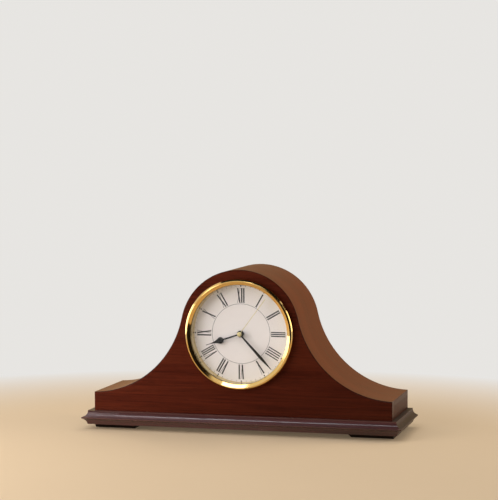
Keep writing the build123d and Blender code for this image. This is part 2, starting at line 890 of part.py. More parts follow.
with BuildPart() as hand_nut:
    with BuildSketch(dial_plane(dial_front_y)) as nut_section:
        with Locations((0, dial_z)):
            RegularPolygon(bushing_radius + nut_wall, 6)
            Circle(bushing_radius, mode=Mode.SUBTRACT)
    extrude(amount=nut_height)
hand_nut.part.label = "hand_nut"
export_step(hand_nut.part, "parts/hand_nut.step")

movement_y = pan_back_y + washer_thickness
with BuildPart() as rubber_washer:
    rod(0, dial_z, bushing_radius + washer_width, pan_back_y, movement_y)
    rod(0, dial_z, bushing_radius, pan_back_y, movement_y, Mode.SUBTRACT)
rubber_washer.part.label = "rubber_washer"
export_step(rubber_washer.part, "parts/rubber_washer.step")


def hand_plane(angle, height):
    # Plane of a hand: local x runs along the hand and the normal points at the viewer
    along = (sin(radians(angle)), 0, cos(radians(angle)))
    return Plane(origin=(0, dial_front_y - height, dial_z), x_dir=along, z_dir=(0, -1, 0))


# The hour hand is a spade: a round bulb whose sides run hollow into a fine point
shoulder_x = hour_bulb_distance + hour_bulb_radius * cos(radians(hour_bulb_shoulder))
shoulder_half = hour_bulb_radius * sin(radians(hour_bulb_shoulder))
waist_x = shoulder_x + (hour_hand_length - shoulder_x) * hour_waist_share
with BuildPart() as hour_hand:
    with BuildSketch(hand_plane(hour_angle, hour_hand_height)):
        with BuildLine():
            Polyline(
                (shoulder_x, -shoulder_half),
                (hour_bulb_distance, -hour_stem_width / 2),
                (0, -hour_stem_width / 2),
                (0, hour_stem_width / 2),
                (hour_bulb_distance, hour_stem_width / 2),
                (shoulder_x, shoulder_half),
            )
            ThreePointArc(
                (shoulder_x, shoulder_half),
                (waist_x, hour_waist_width / 2),
                (hour_hand_length, hour_tip_width / 2),
            )
            Line((hour_hand_length, hour_tip_width / 2), (hour_hand_length, -hour_tip_width / 2))
            ThreePointArc(
                (hour_hand_length, -hour_tip_width / 2),
                (waist_x, -hour_waist_width / 2),
                (shoulder_x, -shoulder_half),
            )
        make_face()
        Circle(hour_tube_radius + eye_wall)
        with Locations((hour_bulb_distance, 0)):
            Circle(hour_bulb_radius)
        Circle(hour_tube_radius, mode=Mode.SUBTRACT)
    extrude(amount=hand_thickness)
hour_hand.part.label = "hour_hand"
export_step(hour_hand.part, "parts/hour_hand.step")

with BuildPart() as minute_hand:
    with BuildSketch(hand_plane(minute_angle, minute_hand_height)):
        with BuildLine():
            Polyline(
                (0, minute_root_width / 2),
                (minute_wide_distance, minute_wide_width / 2),
                (minute_hand_length, minute_tip_width / 2),
                (minute_hand_length, -minute_tip_width / 2),
                (minute_wide_distance, -minute_wide_width / 2),
                (0, -minute_root_width / 2),
                close=True,
            )
        make_face()
        Circle(minute_tube_radius + eye_wall)
        Circle(minute_tube_radius, mode=Mode.SUBTRACT)
    extrude(amount=hand_thickness)
minute_hand.part.label = "minute_hand"
export_step(minute_hand.part, "parts/minute_hand.step")

boss_plane = hand_plane(second_angle, boss_base_height)
with BuildPart() as second_hand:
    with BuildSketch(hand_plane(second_angle, second_hand_height)):
        with Locations((second_hand_length / 2, 0)):
            Rectangle(second_hand_length, second_hand_width)
    extrude(amount=hand_thickness)
    with BuildSketch(boss_plane):
        Circle(second_arbor_radius + boss_wall)
    extrude(amount=boss_height - boss_base_height)
    fillet(second_hand.edges().group_by(Axis.Y)[0], min(boss_round, boss_crown))
    with BuildSketch(boss_plane):
        Circle(second_arbor_radius)
    extrude(amount=second_arbor_height - boss_base_height, mode=Mode.SUBTRACT)
second_hand.part.label = "second_hand"
export_step(second_hand.part, "parts/second_hand.step")

# Wheel layers of the movement, numbered from the dial, and the places of the arbors
layer_pitch = wheel_thickness + wheel_gap
layer_starts = [movement_y + first_wheel_depth + layer * layer_pitch for layer in range(wheel_layers)]
front_wall_y = movement_y + movement_wall
magnet_start = layer_starts[-1]
magnet_end = magnet_start + magnet_length
bridge_y = magnet_end + magnet_end_room
bridge_back = bridge_y + bridge_thickness
centre = (0, dial_z)
third_distance = (second_pinion_teeth + third_teeth) * train_module / 2
centre_module = 2 * third_distance / (third_pinion_teeth + centre_teeth)
motion_distance = (cannon_teeth + minute_wheel_teeth) * motion_module / 2
hour_module = 2 * motion_distance / (minute_pinion_teeth + hour_teeth)
fifth_distance = (fifth_pinion_teeth + second_teeth) * train_module / 2
rotor_distance = (rotor_pinion_teeth + fifth_teeth) * train_module / 2
setting_distance = (setting_teeth + minute_wheel_teeth) * motion_module / 2
third_place = from_axis(centre, third_distance, third_direction)
minute_place = from_axis(centre, motion_distance, minute_direction)
fifth_place = from_axis(centre, fifth_distance, fifth_direction)
rotor_place = from_axis(fifth_place, rotor_distance, rotor_direction)
setting_place = from_axis(minute_place, setting_distance, setting_direction)

# Tooth phases, worked along each train so that every pair is in mesh at rest
fifth_phase = meshing_phase(rotor_place, rotor_pinion_teeth, 0, fifth_place, fifth_teeth)
second_phase = meshing_phase(fifth_place, fifth_pinion_teeth, 0, centre, second_teeth)
third_phase = meshing_phase(centre, second_pinion_teeth, 0, third_place, third_teeth)
centre_phase = meshing_phase(third_place, third_pinion_teeth, 0, centre, centre_teeth)
minute_wheel_phase = meshing_phase(centre, cannon_teeth, 0, minute_place, minute_wheel_teeth)
hour_phase = meshing_phase(minute_place, minute_pinion_teeth, 0, centre, hour_teeth)
setting_phase = meshing_phase(
    minute_place, minute_wheel_teeth, minute_wheel_phase, setting_place, setting_teeth
)


def tip_radius(teeth, module):
    return (teeth / 2 + tooth_addendum) * module


def pillar_place(wheel_place, teeth, module, direction):
    # A pillar for the bridge stands just clear of a wheel
    return from_axis(wheel_place, tip_radius(teeth, module) + pillar_clearance + pillar_radius, direction)


pillar_places = [
    pillar_place(centre, centre_teeth, centre_module, centre_pillar_direction),
    pillar_place(third_place, third_teeth, train_module, third_pillar_direction),
    pillar_place(fifth_place, fifth_teeth, train_module, fifth_pillar_direction),
]

# Bridge plate, which reaches past its pillars and the setting shaft
bridge_left = setting_place[0] - control_shaft_radius - bridge_margin
bridge_right = pillar_places[2][0] + bridge_margin
bridge_low = setting_place[1] - control_shaft_radius - bridge_margin
bridge_high = third_place[1] + bridge_margin
stator_half_length = rotor_place[0] - third_place[0] - arbor_radius - stator_arbor_gap
core_z = bridge_high + coil_bridge_gap + coil_radius

# Movement case: a front tray with the threaded tube, and a deep rear shell with the battery bay
room_low = bridge_low - wheel_room
room_high = third_place[1] + tip_radius(third_teeth, train_module) + wheel_room
board_y = bridge_back + board_bridge_gap
board_back_y = board_y + board_thickness
control_back_y = board_back_y + control_height
rear_wall_y = control_back_y + control_room
movement_back_y = rear_wall_y + movement_wall
bay_height = 4 * cell_radius + 3 * cell_clearance
bay_top = room_low - movement_wall
bay_bottom = bay_top - bay_height
bay_floor_y = movement_back_y - 2 * cell_radius - 2 * cell_clearance
split_y = bay_floor_y - bay_floor_thickness
movement_low_z = bay_bottom - movement_wall
movement_high_z = room_high + movement_wall
movement_inner = max(cell_length / 2 + cell_end_room, bridge_right + wheel_room)
movement_half_width = movement_inner + movement_wall
pivot_holes = [third_place, fifth_place, rotor_place, setting_place]


def movement_shell(y_start, y_end):
    with BuildSketch(dial_plane(y_start)) as outline:
        with Locations((0, (movement_low_z + movement_high_z) / 2)):
            RectangleRounded(2 * movement_half_width, movement_high_z - movement_low_z, movement_corner)
    extrude(outline.sketch, amount=y_start - y_end)


with BuildPart() as movement_front:
    movement_shell(movement_y, split_y)
    block(
        -movement_inner,
        movement_inner,
        front_wall_y,
        split_y,
        bay_bottom,
        room_high,
        Mode.SUBTRACT,
    )
    tube_y = dial_front_y - bushing_height
    rod(0, dial_z, bushing_radius, tube_y, movement_y)
    rod(0, dial_z, hour_tube_radius + running_clearance, tube_y, front_wall_y, Mode.SUBTRACT)
    rod(minute_place[0], minute_place[1], stud_radius, front_wall_y, layer_starts[1] + wheel_thickness)
    for pillar_x, pillar_z in pillar_places:
        rod(pillar_x, pillar_z, pillar_radius, front_wall_y, bridge_y)
    for hole_x, hole_z in pivot_holes:
        rod(
            hole_x,
            hole_z,
            pivot_radius + running_clearance,
            front_wall_y - pivot_depth - arbor_end_play,
            front_wall_y,
            Mode.SUBTRACT,
        )
movement_front.part.label = "movement_front"
export_step(movement_front.part, "parts/movement_front.step")

board_half_width = movement_inner - board_edge_gap
board_low_z = room_low + board_edge_gap
board_high_z = room_high - board_edge_gap
peg_places = [
    (side * (board_half_width - peg_edge), z)
    for side in (-1, 1)
    for z in (board_low_z + peg_edge, board_high_z - peg_edge)
]
volume_place = (pot_x, dial_z + control_rise)
switch_place = (switch_x, dial_z + control_rise)
lever_half_slot = lever_length / 2 + switch_travel + lever_clearance
lever_half_width = lever_width / 2 + lever_clearance


def lever_slot(y_start, y_end):
    block(
        switch_place[0] - lever_half_slot,
        switch_place[0] + lever_half_slot,
        y_start,
        y_end,
        switch_place[1] - lever_half_width,
        switch_place[1] + lever_half_width,
        Mode.SUBTRACT,
    )


with BuildPart() as movement_rear:
    movement_shell(split_y, movement_back_y)
    block(
        -movement_inner,
        movement_inner,
        split_y,
        rear_wall_y,
        room_low,
        room_high,
        Mode.SUBTRACT,
    )
    block(
        -movement_inner, movement_inner, bay_floor_y, movement_back_y, bay_bottom, bay_top, Mode.SUBTRACT
    )
    for peg_x, peg_z in peg_places:
        rod(peg_x, peg_z, peg_radius, board_back_y, rear_wall_y)
    for shaft_x, shaft_z in (setting_place, volume_place):
        rod(
            shaft_x,
            shaft_z,
            control_shaft_radius + running_clearance,
            rear_wall_y,
            movement_back_y,
            Mode.SUBTRACT,
        )
    lever_slot(rear_wall_y, movement_back_y)
movement_rear.part.label = "movement_rear"
export_step(movement_rear.part, "parts/movement_rear.step")

# Bridge that carries the rear pivots and, on two posts, the stator
motor_y = (magnet_start + magnet_end) / 2
stator_front = motor_y - stator_thickness / 2
stator_back = motor_y + stator_thickness / 2
post_offset = (stator_half_length + magnet_radius + magnet_gap) / 2
post_places = [(rotor_place[0] + side * post_offset, rotor_place[1]) for side in (-1, 1)]
with BuildPart() as gear_bridge:
    block(bridge_left, bridge_right, bridge_y, bridge_back, bridge_low, bridge_high)
    for post_x, post_z in post_places:
        rod(post_x, post_z, post_radius, stator_back, bridge_y)
        rod(post_x, post_z, post_pin_radius, stator_front, stator_back)
    for hole_x, hole_z in (centre, third_place, fifth_place, rotor_place):
        rod(hole_x, hole_z, pivot_radius + running_clearance, bridge_y, bridge_back, Mode.SUBTRACT)
    rod(
        setting_place[0],
        setting_place[1],
        control_shaft_radius + running_clearance,
        bridge_y,
        bridge_back,
        Mode.SUBTRACT,
    )
gear_bridge.part.label = "gear_bridge"
export_step(gear_bridge.part, "parts/gear_bridge.step")

# Stepping motor: stator frame round the rotor, with a coil on its core
window_low = rotor_place[1] + stator_bar_half
window_half = stator_half_length - stator_leg
with BuildPart() as stator:
    block(
        rotor_place[0] - stator_half_length,
        rotor_place[0] + stator_half_length,
        stator_front,
        stator_back,
        rotor_place[1] - stator_bar_half,
        core_z + core_width / 2,
    )
    block(
        rotor_place[0] - window_half,
        rotor_place[0] + window_half,
        stator_front,
        stator_back,
        window_low,
        core_z - core_width / 2,
        Mode.SUBTRACT,
    )
    rod(rotor_place[0], rotor_place[1], magnet_radius + magnet_gap, stator_front, stator_back, Mode.SUBTRACT)
    for post_x, post_z in post_places:
        rod(post_x, post_z, post_pin_radius, stator_front, stator_back, Mode.SUBTRACT)
stator.part.label = "stator"
export_step(stator.part, "parts/stator.step")

coil_start = rotor_place[0] - window_half + coil_end_gap
coil_end = rotor_place[0] + window_half - coil_end_gap
with BuildPart() as coil:
    with BuildSketch(Plane.YZ.offset(coil_start)):
        with Locations((motor_y, core_z)):
            Circle(coil_radius)
            Rectangle(
                stator_thickness + 2 * coil_clearance, core_width + 2 * coil_clearance, mode=Mode.SUBTRACT
            )
    extrude(amount=coil_end - coil_start)
coil.part.label = "coil"
export_step(coil.part, "parts/coil.step")


def arbor(place, y_start, y_end):
    # Plain arbor between the front wall and the bridge, with a pivot at either end
    rod(place[0], place[1], arbor_radius, y_start + arbor_end_play, y_end - arbor_end_play)
    rod(place[0], place[1], pivot_radius, y_start - pivot_depth, y_start + arbor_end_play)
    rod(place[0], place[1], pivot_radius, y_end - arbor_end_play, y_end + pivot_depth)


# Motion work behind the dial
hour_front_y = dial_front_y - hour_hand_height - hand_thickness
minute_front_y = dial_front_y - minute_hand_height - hand_thickness
with BuildPart() as hour_wheel:
    gear(centre, hour_teeth, hour_module, hour_phase, layer_starts[0], layer_starts[0] + wheel_thickness)
    rod(0, dial_z, hour_tube_radius, hour_front_y, layer_starts[0] + wheel_thickness)
    rod(
        0,
        dial_z,
        minute_tube_radius + running_clearance,
        hour_front_y,
        layer_starts[0] + wheel_thickness,
        Mode.SUBTRACT,
    )
hour_wheel.part.label = "hour_wheel"
export_step(hour_wheel.part, "parts/hour_wheel.step")

clutch_start = layer_starts[2] + wheel_thickness + clutch_play
clutch_end = layer_starts[3] - clutch_play
with BuildPart() as minute_arbor:
    rod(0, dial_z, minute_tube_radius, minute_front_y, clutch_end)
    gear(centre, cannon_teeth, motion_module, 0, layer_starts[1], layer_starts[1] + wheel_thickness)
    rod(0, dial_z, clutch_washer_radius, clutch_start, clutch_end)
    rod(0, dial_z, second_arbor_radius + running_clearance, minute_front_y, clutch_end, Mode.SUBTRACT)
minute_arbor.part.label = "minute_arbor"
export_step(minute_arbor.part, "parts/minute_arbor.step")

with BuildPart() as minute_wheel:
    gear(minute_place, minute_pinion_teeth, hour_module, 0, layer_starts[0], layer_starts[1])
    gear(
        minute_place,
        minute_wheel_teeth,
        motion_module,
        minute_wheel_phase,
        layer_starts[1],
        layer_starts[1] + wheel_thickness,
    )
    rod(
        minute_place[0],
        minute_place[1],
        stud_radius + running_clearance,
        layer_starts[0],
        layer_starts[1] + wheel_thickness,
        Mode.SUBTRACT,
    )
minute_wheel.part.label = "minute_wheel"
export_step(minute_wheel.part, "parts/minute_wheel.step")

# Seconds train from the rotor to the centre wheel
with BuildPart() as centre_wheel:
    gear(
        centre, centre_teeth, centre_module, centre_phase, layer_starts[2], layer_starts[2] + wheel_thickness
    )
    rod(
        0,
        dial_z,
        minute_tube_radius + running_clearance,
        layer_starts[2],
        layer_starts[2] + wheel_thickness,
        Mode.SUBTRACT,
    )
centre_wheel.part.label = "centre_wheel"
export_step(centre_wheel.part, "parts/centre_wheel.step")

with BuildPart() as third_wheel:
    arbor(third_place, front_wall_y, bridge_y)
    gear(third_place, third_pinion_teeth, centre_module, 0, layer_starts[2], layer_starts[3])
    gear(
        third_place,
        third_teeth,
        train_module,
        third_phase,
        layer_starts[3],
        layer_starts[3] + wheel_thickness,
    )
third_wheel.part.label = "third_wheel"
export_step(third_wheel.part, "parts/third_wheel.step")

with BuildPart() as second_wheel:
    rod(0, dial_z, second_arbor_radius, dial_front_y - second_arbor_height, bridge_y - arbor_end_play)
    rod(0, dial_z, pivot_radius, bridge_y - arbor_end_play, bridge_y + pivot_depth)
    gear(centre, second_pinion_teeth, train_module, 0, layer_starts[3], layer_starts[4])
    gear(centre, second_teeth, train_module, second_phase, layer_starts[4], layer_starts[4] + wheel_thickness)
second_wheel.part.label = "second_wheel"
export_step(second_wheel.part, "parts/second_wheel.step")

with BuildPart() as fifth_wheel:
    arbor(fifth_place, front_wall_y, bridge_y)
    gear(fifth_place, fifth_pinion_teeth, train_module, 0, layer_starts[4], layer_starts[5])
    gear(
        fifth_place,
        fifth_teeth,
        train_module,
        fifth_phase,
        layer_starts[5],
        layer_starts[5] + wheel_thickness,
    )
fifth_wheel.part.label = "fifth_wheel"
export_step(fifth_wheel.part, "parts/fifth_wheel.step")

with BuildPart() as rotor:
    arbor(rotor_place, front_wall_y, bridge_y)
    gear(rotor_place, rotor_pinion_teeth, train_module, 0, layer_starts[5], magnet_start)
    rod(rotor_place[0], rotor_place[1], magnet_radius, magnet_start, magnet_end)
rotor.part.label = "rotor"
export_step(rotor.part, "parts/rotor.step")

# Circuit board with the chime chip and the quartz can
chip_place = (0, dial_z)
can_place = (0, dial_z - chip_size)
with BuildPart() as circuit_board:
    block(-board_half_width, board_half_width, board_y, board_back_y, board_low_z, board_high_z)
    rod(
        setting_place[0],
        setting_place[1],
        control_shaft_radius + board_hole_clearance,
        board_y,
        board_back_y,
        Mode.SUBTRACT,
    )
circuit_board.part.label = "circuit_board"
export_step(circuit_board.part, "parts/circuit_board.step")

with BuildPart() as board_components:
    block(
        chip_place[0] - chip_size / 2,
        chip_place[0] + chip_size / 2,
        board_back_y,
        board_back_y + chip_height,
        chip_place[1] - chip_size / 2,
        chip_place[1] + chip_size / 2,
    )
    with BuildSketch(Plane.YZ.offset(can_place[0] - can_length / 2)):
        with Locations((board_back_y + can_radius, can_place[1])):
            Circle(can_radius)
    extrude(amount=can_length)
board_components.part.label = "board_components"
export_step(board_components.part, "parts/board_components.step")

# Volume control, chime switch and setting knob, reached from behind
shaft_start = board_back_y + control_room
knob_start = movement_back_y + control_knob_gap
knob_end = knob_start + control_knob_height
with BuildPart() as volume_pot:
    block(
        volume_place[0] - pot_size / 2,
        volume_place[0] + pot_size / 2,
        board_back_y,
        control_back_y,
        volume_place[1] - pot_size / 2,
        volume_place[1] + pot_size / 2,
    )
    rod(
        volume_place[0],
        volume_place[1],
        control_shaft_radius + running_clearance,
        board_back_y,
        control_back_y,
        Mode.SUBTRACT,
    )
volume_pot.part.label = "volume_pot"
export_step(volume_pot.part, "parts/volume_pot.step")

with BuildPart() as volume_knob:
    fluted_knob(volume_place, volume_knob_radius, knob_start, knob_end)
    rod(volume_place[0], volume_place[1], control_shaft_radius, shaft_start, knob_start)
    block(
        volume_place[0] - slot_width / 2,
        volume_place[0] + slot_width / 2,
        knob_end - slot_depth,
        knob_end,
        volume_place[1],
        volume_place[1] + volume_knob_radius,
        Mode.SUBTRACT,
    )
volume_knob.part.label = "volume_knob"
export_step(volume_knob.part, "parts/volume_knob.step")

with BuildPart() as switch_body:
    block(
        switch_place[0] - lever_half_slot - switch_end_wall,
        switch_place[0] + lever_half_slot + switch_end_wall,
        board_back_y,
        control_back_y,
        switch_place[1] - lever_half_width - switch_side_wall,
        switch_place[1] + lever_half_width + switch_side_wall,
    )
    lever_slot(board_back_y, control_back_y)
switch_body.part.label = "switch_body"
export_step(switch_body.part, "parts/switch_body.step")

with BuildPart() as chime_switch:
    block(
        switch_place[0] - lever_length / 2,
        switch_place[0] + lever_length / 2,
        shaft_start,
        movement_back_y + lever_reach,
        switch_place[1] - lever_width / 2,
        switch_place[1] + lever_width / 2,
    )
    fillet(chime_switch.edges().group_by(Axis.Y)[-1], lever_round)
chime_switch.part.label = "chime_switch"
export_step(chime_switch.part, "parts/chime_switch.step")

with BuildPart() as setting_knob:
    fluted_knob(setting_place, setting_knob_radius, knob_start, knob_end)
    rod(setting_place[0], setting_place[1], control_shaft_radius, front_wall_y + arbor_end_play, knob_start)
    rod(
        setting_place[0],
        setting_place[1],
        pivot_radius,
        front_wall_y - pivot_depth,
        front_wall_y + arbor_end_play,
    )
    gear(
        setting_place,
        setting_teeth,
        motion_module,
        setting_phase,
        layer_starts[1],
        layer_starts[1] + wheel_thickness,
    )
setting_knob.part.label = "setting_knob"
export_step(setting_knob.part, "parts/setting_knob.step")

# Two cells side by side, nub ends opposite, between sprung contacts
cell_y = bay_floor_y + cell_clearance + cell_radius
cell_places = [
    bay_top - cell_clearance - cell_radius,
    bay_top - 2 * cell_clearance - 3 * cell_radius,
]
with BuildPart() as batteries:
    for cell_z, nub_side in zip(cell_places, (1, -1)):
        barrel_start = -cell_length / 2 + (cell_nub_length if nub_side < 0 else 0)
        with BuildSketch(Plane.YZ.offset(barrel_start)):
            with Locations((cell_y, cell_z)):
                Circle(cell_radius)
        extrude(amount=cell_length - cell_nub_length)
        nub_start = cell_length / 2 - cell_nub_length if nub_side > 0 else -cell_length / 2
        with BuildSketch(Plane.YZ.offset(nub_start)):
            with Locations((cell_y, cell_z)):
                Circle(cell_nub_radius)
        extrude(amount=cell_nub_length)
batteries.part.label = "batteries"
export_step(batteries.part, "parts/batteries.step")

with BuildPart() as battery_contacts:
    for side in (-1, 1):
        wall_x = side * (movement_inner - contact_thickness / 2)
        cell_x = side * (cell_length / 2 + contact_thickness / 2)
        for cell_z in cell_places:
            with BuildSketch(dial_plane(cell_y - cell_nub_radius)):
                with BuildLine():
                    Polyline(
                        (wall_x, cell_z + contact_half_height),
                        (wall_x, cell_z + contact_half_height - contact_foot),
                        (cell_x, cell_z + contact_land),
                        (cell_x, cell_z - contact_land),
                        (wall_x, cell_z - contact_half_height + contact_foot),
                        (wall_x, cell_z - contact_half_height),
                    )
                trace(line_width=contact_thickness)
            extrude(amount=-2 * cell_nub_radius)
battery_contacts.part.label = "battery_contacts"
export_step(battery_contacts.part, "parts/battery_contacts.step")

# Speaker facing down over the holes in the plinth
speaker_plane = Plane(origin=(speaker_x, speaker_y, plinth_top), x_dir=(1, 0, 0), z_dir=(0, -1, 0))
speaker_axis = Axis((speaker_x, speaker_y, plinth_top), (0, 0, 1))
basket_top = speaker_flange_thickness + speaker_basket_height
terminal_x = speaker_x - speaker_flange / 2
with BuildPart() as speaker_frame:
    with BuildSketch(Plane.XY.offset(plinth_top)):
        with Locations((speaker_x, speaker_y)):
            RectangleRounded(speaker_flange, speaker_flange, speaker_corner)
            Circle(speaker_mouth_radius, mode=Mode.SUBTRACT)
    extrude(amount=speaker_flange_thickness)
    with BuildSketch(speaker_plane):
        with BuildLine():
            Polyline(
                (speaker_mouth_radius, speaker_flange_thickness),
                (speaker_mouth_radius + speaker_wall, speaker_flange_thickness),
                (speaker_neck_radius + speaker_wall, basket_top),
                (cone_throat_radius, basket_top),
                (cone_throat_radius, basket_top - speaker_wall),
                (speaker_neck_radius, basket_top - speaker_wall),
                close=True,
            )
        make_face()
    revolve(axis=speaker_axis)
    block(
        terminal_x,
        terminal_x + terminal_thickness,
        speaker_y - terminal_width / 2,
        speaker_y + terminal_width / 2,
        plinth_top + speaker_flange_thickness,
        plinth_top + speaker_flange_thickness + terminal_height,
    )
    for screw_x, screw_y in speaker_screw_places:
        post(screw_x, screw_y, screw_radius, plinth_top, speaker_screw_head_z, Mode.SUBTRACT)
speaker_frame.part.label = "speaker_frame"
export_step(speaker_frame.part, "parts/speaker_frame.step")

cone_top = basket_top - speaker_wall - cone_edge_gap
cone_rim = speaker_mouth_radius - cone_edge_gap
with BuildPart() as speaker_cone:
    with BuildSketch(speaker_plane):
        with BuildLine():
            Polyline(
                (cone_rim, cone_edge_gap),
                (cone_rim, cone_edge_gap + cone_thickness),
                (cone_throat_radius, cone_top),
                (0, cone_top),
                (0, cone_top - cone_thickness),
                (cone_throat_radius - cone_thickness, cone_top - cone_thickness),
                close=True,
            )
        make_face()
    revolve(axis=speaker_axis)
speaker_cone.part.label = "speaker_cone"
export_step(speaker_cone.part, "parts/speaker_cone.step")

with BuildPart() as speaker_magnet:
    magnet_can_z = plinth_top + basket_top
    post(speaker_x, speaker_y, magnet_can_radius, magnet_can_z, magnet_can_z + magnet_can_height)
speaker_magnet.part.label = "speaker_magnet"
export_step(speaker_magnet.part, "parts/speaker_magnet.step")

with BuildPart() as speaker_screws:
    for screw_x, screw_y in speaker_screw_places:
        post(screw_x, screw_y, screw_radius, speaker_screw_tip, speaker_screw_head_z)
        post(
            screw_x,
            screw_y,
            screw_head_radius,
            speaker_screw_head_z,
            speaker_screw_head_z + screw_head_height,
        )
speaker_screws.part.label = "speaker_screws"
export_step(speaker_screws.part, "parts/speaker_screws.step")
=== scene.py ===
import json
import math

import bmesh
import bpy
from mathutils import Matrix, Vector


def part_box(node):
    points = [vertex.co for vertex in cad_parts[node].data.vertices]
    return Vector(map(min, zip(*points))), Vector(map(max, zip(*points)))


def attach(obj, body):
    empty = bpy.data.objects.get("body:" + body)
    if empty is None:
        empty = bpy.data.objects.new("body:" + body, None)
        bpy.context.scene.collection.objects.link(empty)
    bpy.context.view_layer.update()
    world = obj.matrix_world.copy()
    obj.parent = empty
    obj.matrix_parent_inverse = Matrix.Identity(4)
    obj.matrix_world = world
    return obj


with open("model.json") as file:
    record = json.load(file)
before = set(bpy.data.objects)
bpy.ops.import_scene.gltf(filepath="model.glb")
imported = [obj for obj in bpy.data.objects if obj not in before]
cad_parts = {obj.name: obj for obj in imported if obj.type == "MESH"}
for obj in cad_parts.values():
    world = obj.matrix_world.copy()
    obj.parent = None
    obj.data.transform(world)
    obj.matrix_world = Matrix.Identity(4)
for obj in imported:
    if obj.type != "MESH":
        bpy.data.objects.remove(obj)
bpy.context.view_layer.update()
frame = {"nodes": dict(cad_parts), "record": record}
nodes = frame["nodes"]
stage = bpy.context.scene
stage.view_settings.view_transform = "Standard"
print("frame loaded with", len(nodes), "nodes")

mm = 0.001

# Places read from the frame, metres
dialLow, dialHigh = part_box("dial")
dialCentre = Vector((0, dialLow.y, (dialLow.z + dialHigh.z) / 2))   # on the painted face
panelLow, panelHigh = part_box("front_panel")
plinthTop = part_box("plinth")[1].z
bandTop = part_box("top_band")[1].z
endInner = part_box("right_end_panel")[0].x
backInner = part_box("back_panel")[0].y
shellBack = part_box("movement_rear")[1].y


# Small helpers for node trees

def addNode(tree, kind, **settings):
    node = tree.nodes.new(kind)
    for key, value in settings.items():
        setattr(node, key, value)
    return node


def feed(tree, socket, value):
    # a socket takes either another node's output or a plain value
    if isinstance(value, bpy.types.NodeSocket):
        tree.links.new(value, socket)
    else:
        socket.default_value = value


def calc(tree, operation, *values):
    node = addNode(tree, "ShaderNodeMath", operation=operation)
    for socket, value in zip(node.inputs, values):
        feed(tree, socket, value)
    return node.outputs[0]


def allOf(tree, first, *others):
    # one only where every mask is one
    for mask in others:
        first = calc(tree, "MULTIPLY", first, mask)
    return first


def blendColour(tree, amount, first, second):
    node = addNode(tree, "ShaderNodeMix", data_type="RGBA")
    feed(tree, node.inputs[0], amount)
    feed(tree, node.inputs[6], first)
    feed(tree, node.inputs[7], second)
    return node.outputs[2]


def blendValue(tree, amount, first, second):
    node = addNode(tree, "ShaderNodeMix", data_type="FLOAT")
    feed(tree, node.inputs[0], amount)
    feed(tree, node.inputs[2], first)
    feed(tree, node.inputs[3], second)
    return node.outputs[0]


def remap(tree, value, low, high, newLow=0.0, newHigh=1.0):
    node = addNode(tree, "ShaderNodeMapRange")
    for socket, number in zip(node.inputs, (value, low, high, newLow, newHigh)):
        feed(tree, socket, number)
    return node.outputs[0]


def stretch(tree, vector, scale):
    node = addNode(tree, "ShaderNodeVectorMath", operation="MULTIPLY")
    feed(tree, node.inputs[0], vector)
    feed(tree, node.inputs[1], scale)
    return node.outputs[0]


def noise(tree, vector, scale=1.0, detail=2.0, roughness=0.5, distortion=0.0):
    node = addNode(tree, "ShaderNodeTexNoise")
    feed(tree, node.inputs["Vector"], vector)
    feed(tree, node.inputs["Scale"], scale)
    feed(tree, node.inputs["Detail"], detail)
    feed(tree, node.inputs["Roughness"], roughness)
    feed(tree, node.inputs["Distortion"], distortion)
    return node.outputs[0]


def combine(tree, x, y, z):
    node = addNode(tree, "ShaderNodeCombineXYZ")
    for socket, value in zip(node.inputs, (x, y, z)):
        feed(tree, socket, value)
    return node.outputs[0]


def separate(tree, vector):
    node = addNode(tree, "ShaderNodeSeparateXYZ")
    feed(tree, node.inputs[0], vector)
    return node.outputs


def objectPlace(tree):
    return addNode(tree, "ShaderNodeTexCoord").outputs["Object"]


def placeAxes(tree):
    return separate(tree, objectPlace(tree))


def sideways(tree):
    # distance from the middle of the clock, to either side
    return calc(tree, "ABSOLUTE", placeAxes(tree)[0])


def reach(tree, across, up):
    node = addNode(tree, "ShaderNodeVectorMath", operation="LENGTH")
    feed(tree, node.inputs[0], combine(tree, across, up, 0.0))
    return node.outputs["Value"]


def bump(tree, height, strength, distance):
    node = addNode(tree, "ShaderNodeBump")
    feed(tree, node.inputs["Height"], height)
    node.inputs["Strength"].default_value = strength
    node.inputs["Distance"].default_value = distance
    return node.outputs[0]


def mixSurface(tree, amount, first, second, output="Material Output"):
    mixed = addNode(tree, "ShaderNodeMixShader")
    for socket, value in zip(mixed.inputs, (amount, first, second)):
        feed(tree, socket, value)
    feed(tree, tree.nodes[output].inputs["Surface"], mixed.outputs[0])


def newGroup(name, inputs, outputs):
    tree = bpy.data.node_groups.new(name, "ShaderNodeTree")
    for label, kind in inputs:
        tree.interface.new_socket(label, in_out="INPUT", socket_type=kind)
    for label, kind in outputs:
        tree.interface.new_socket(label, in_out="OUTPUT", socket_type=kind)
    return tree, addNode(tree, "NodeGroupInput").outputs, addNode(tree, "NodeGroupOutput").inputs


def placeGroup(tree, group, **values):
    node = addNode(tree, "ShaderNodeGroup", node_tree=group)
    for label, value in values.items():
        feed(tree, node.inputs[label], value)
    return node.outputs


def newMaterial(name):
    material = bpy.data.materials.new(name)
    material.use_nodes = True
    tree = material.node_tree
    return material, tree, tree.nodes["Principled BSDF"].inputs


def colour(red, green, blue):
    return (red, green, blue, 1.0)


def blendTints(tree, amount, first, second):
    return blendColour(tree, amount, colour(*first), colour(*second))


def meshObject(mesh, name, material):
    # a finished bmesh as an object at the origin
    data = bpy.data.meshes.new(name)
    mesh.to_mesh(data)
    mesh.free()
    data.materials.append(material)
    thing = bpy.data.objects.new(name, data)
    stage.collection.objects.link(thing)
    return thing


# Shared effects

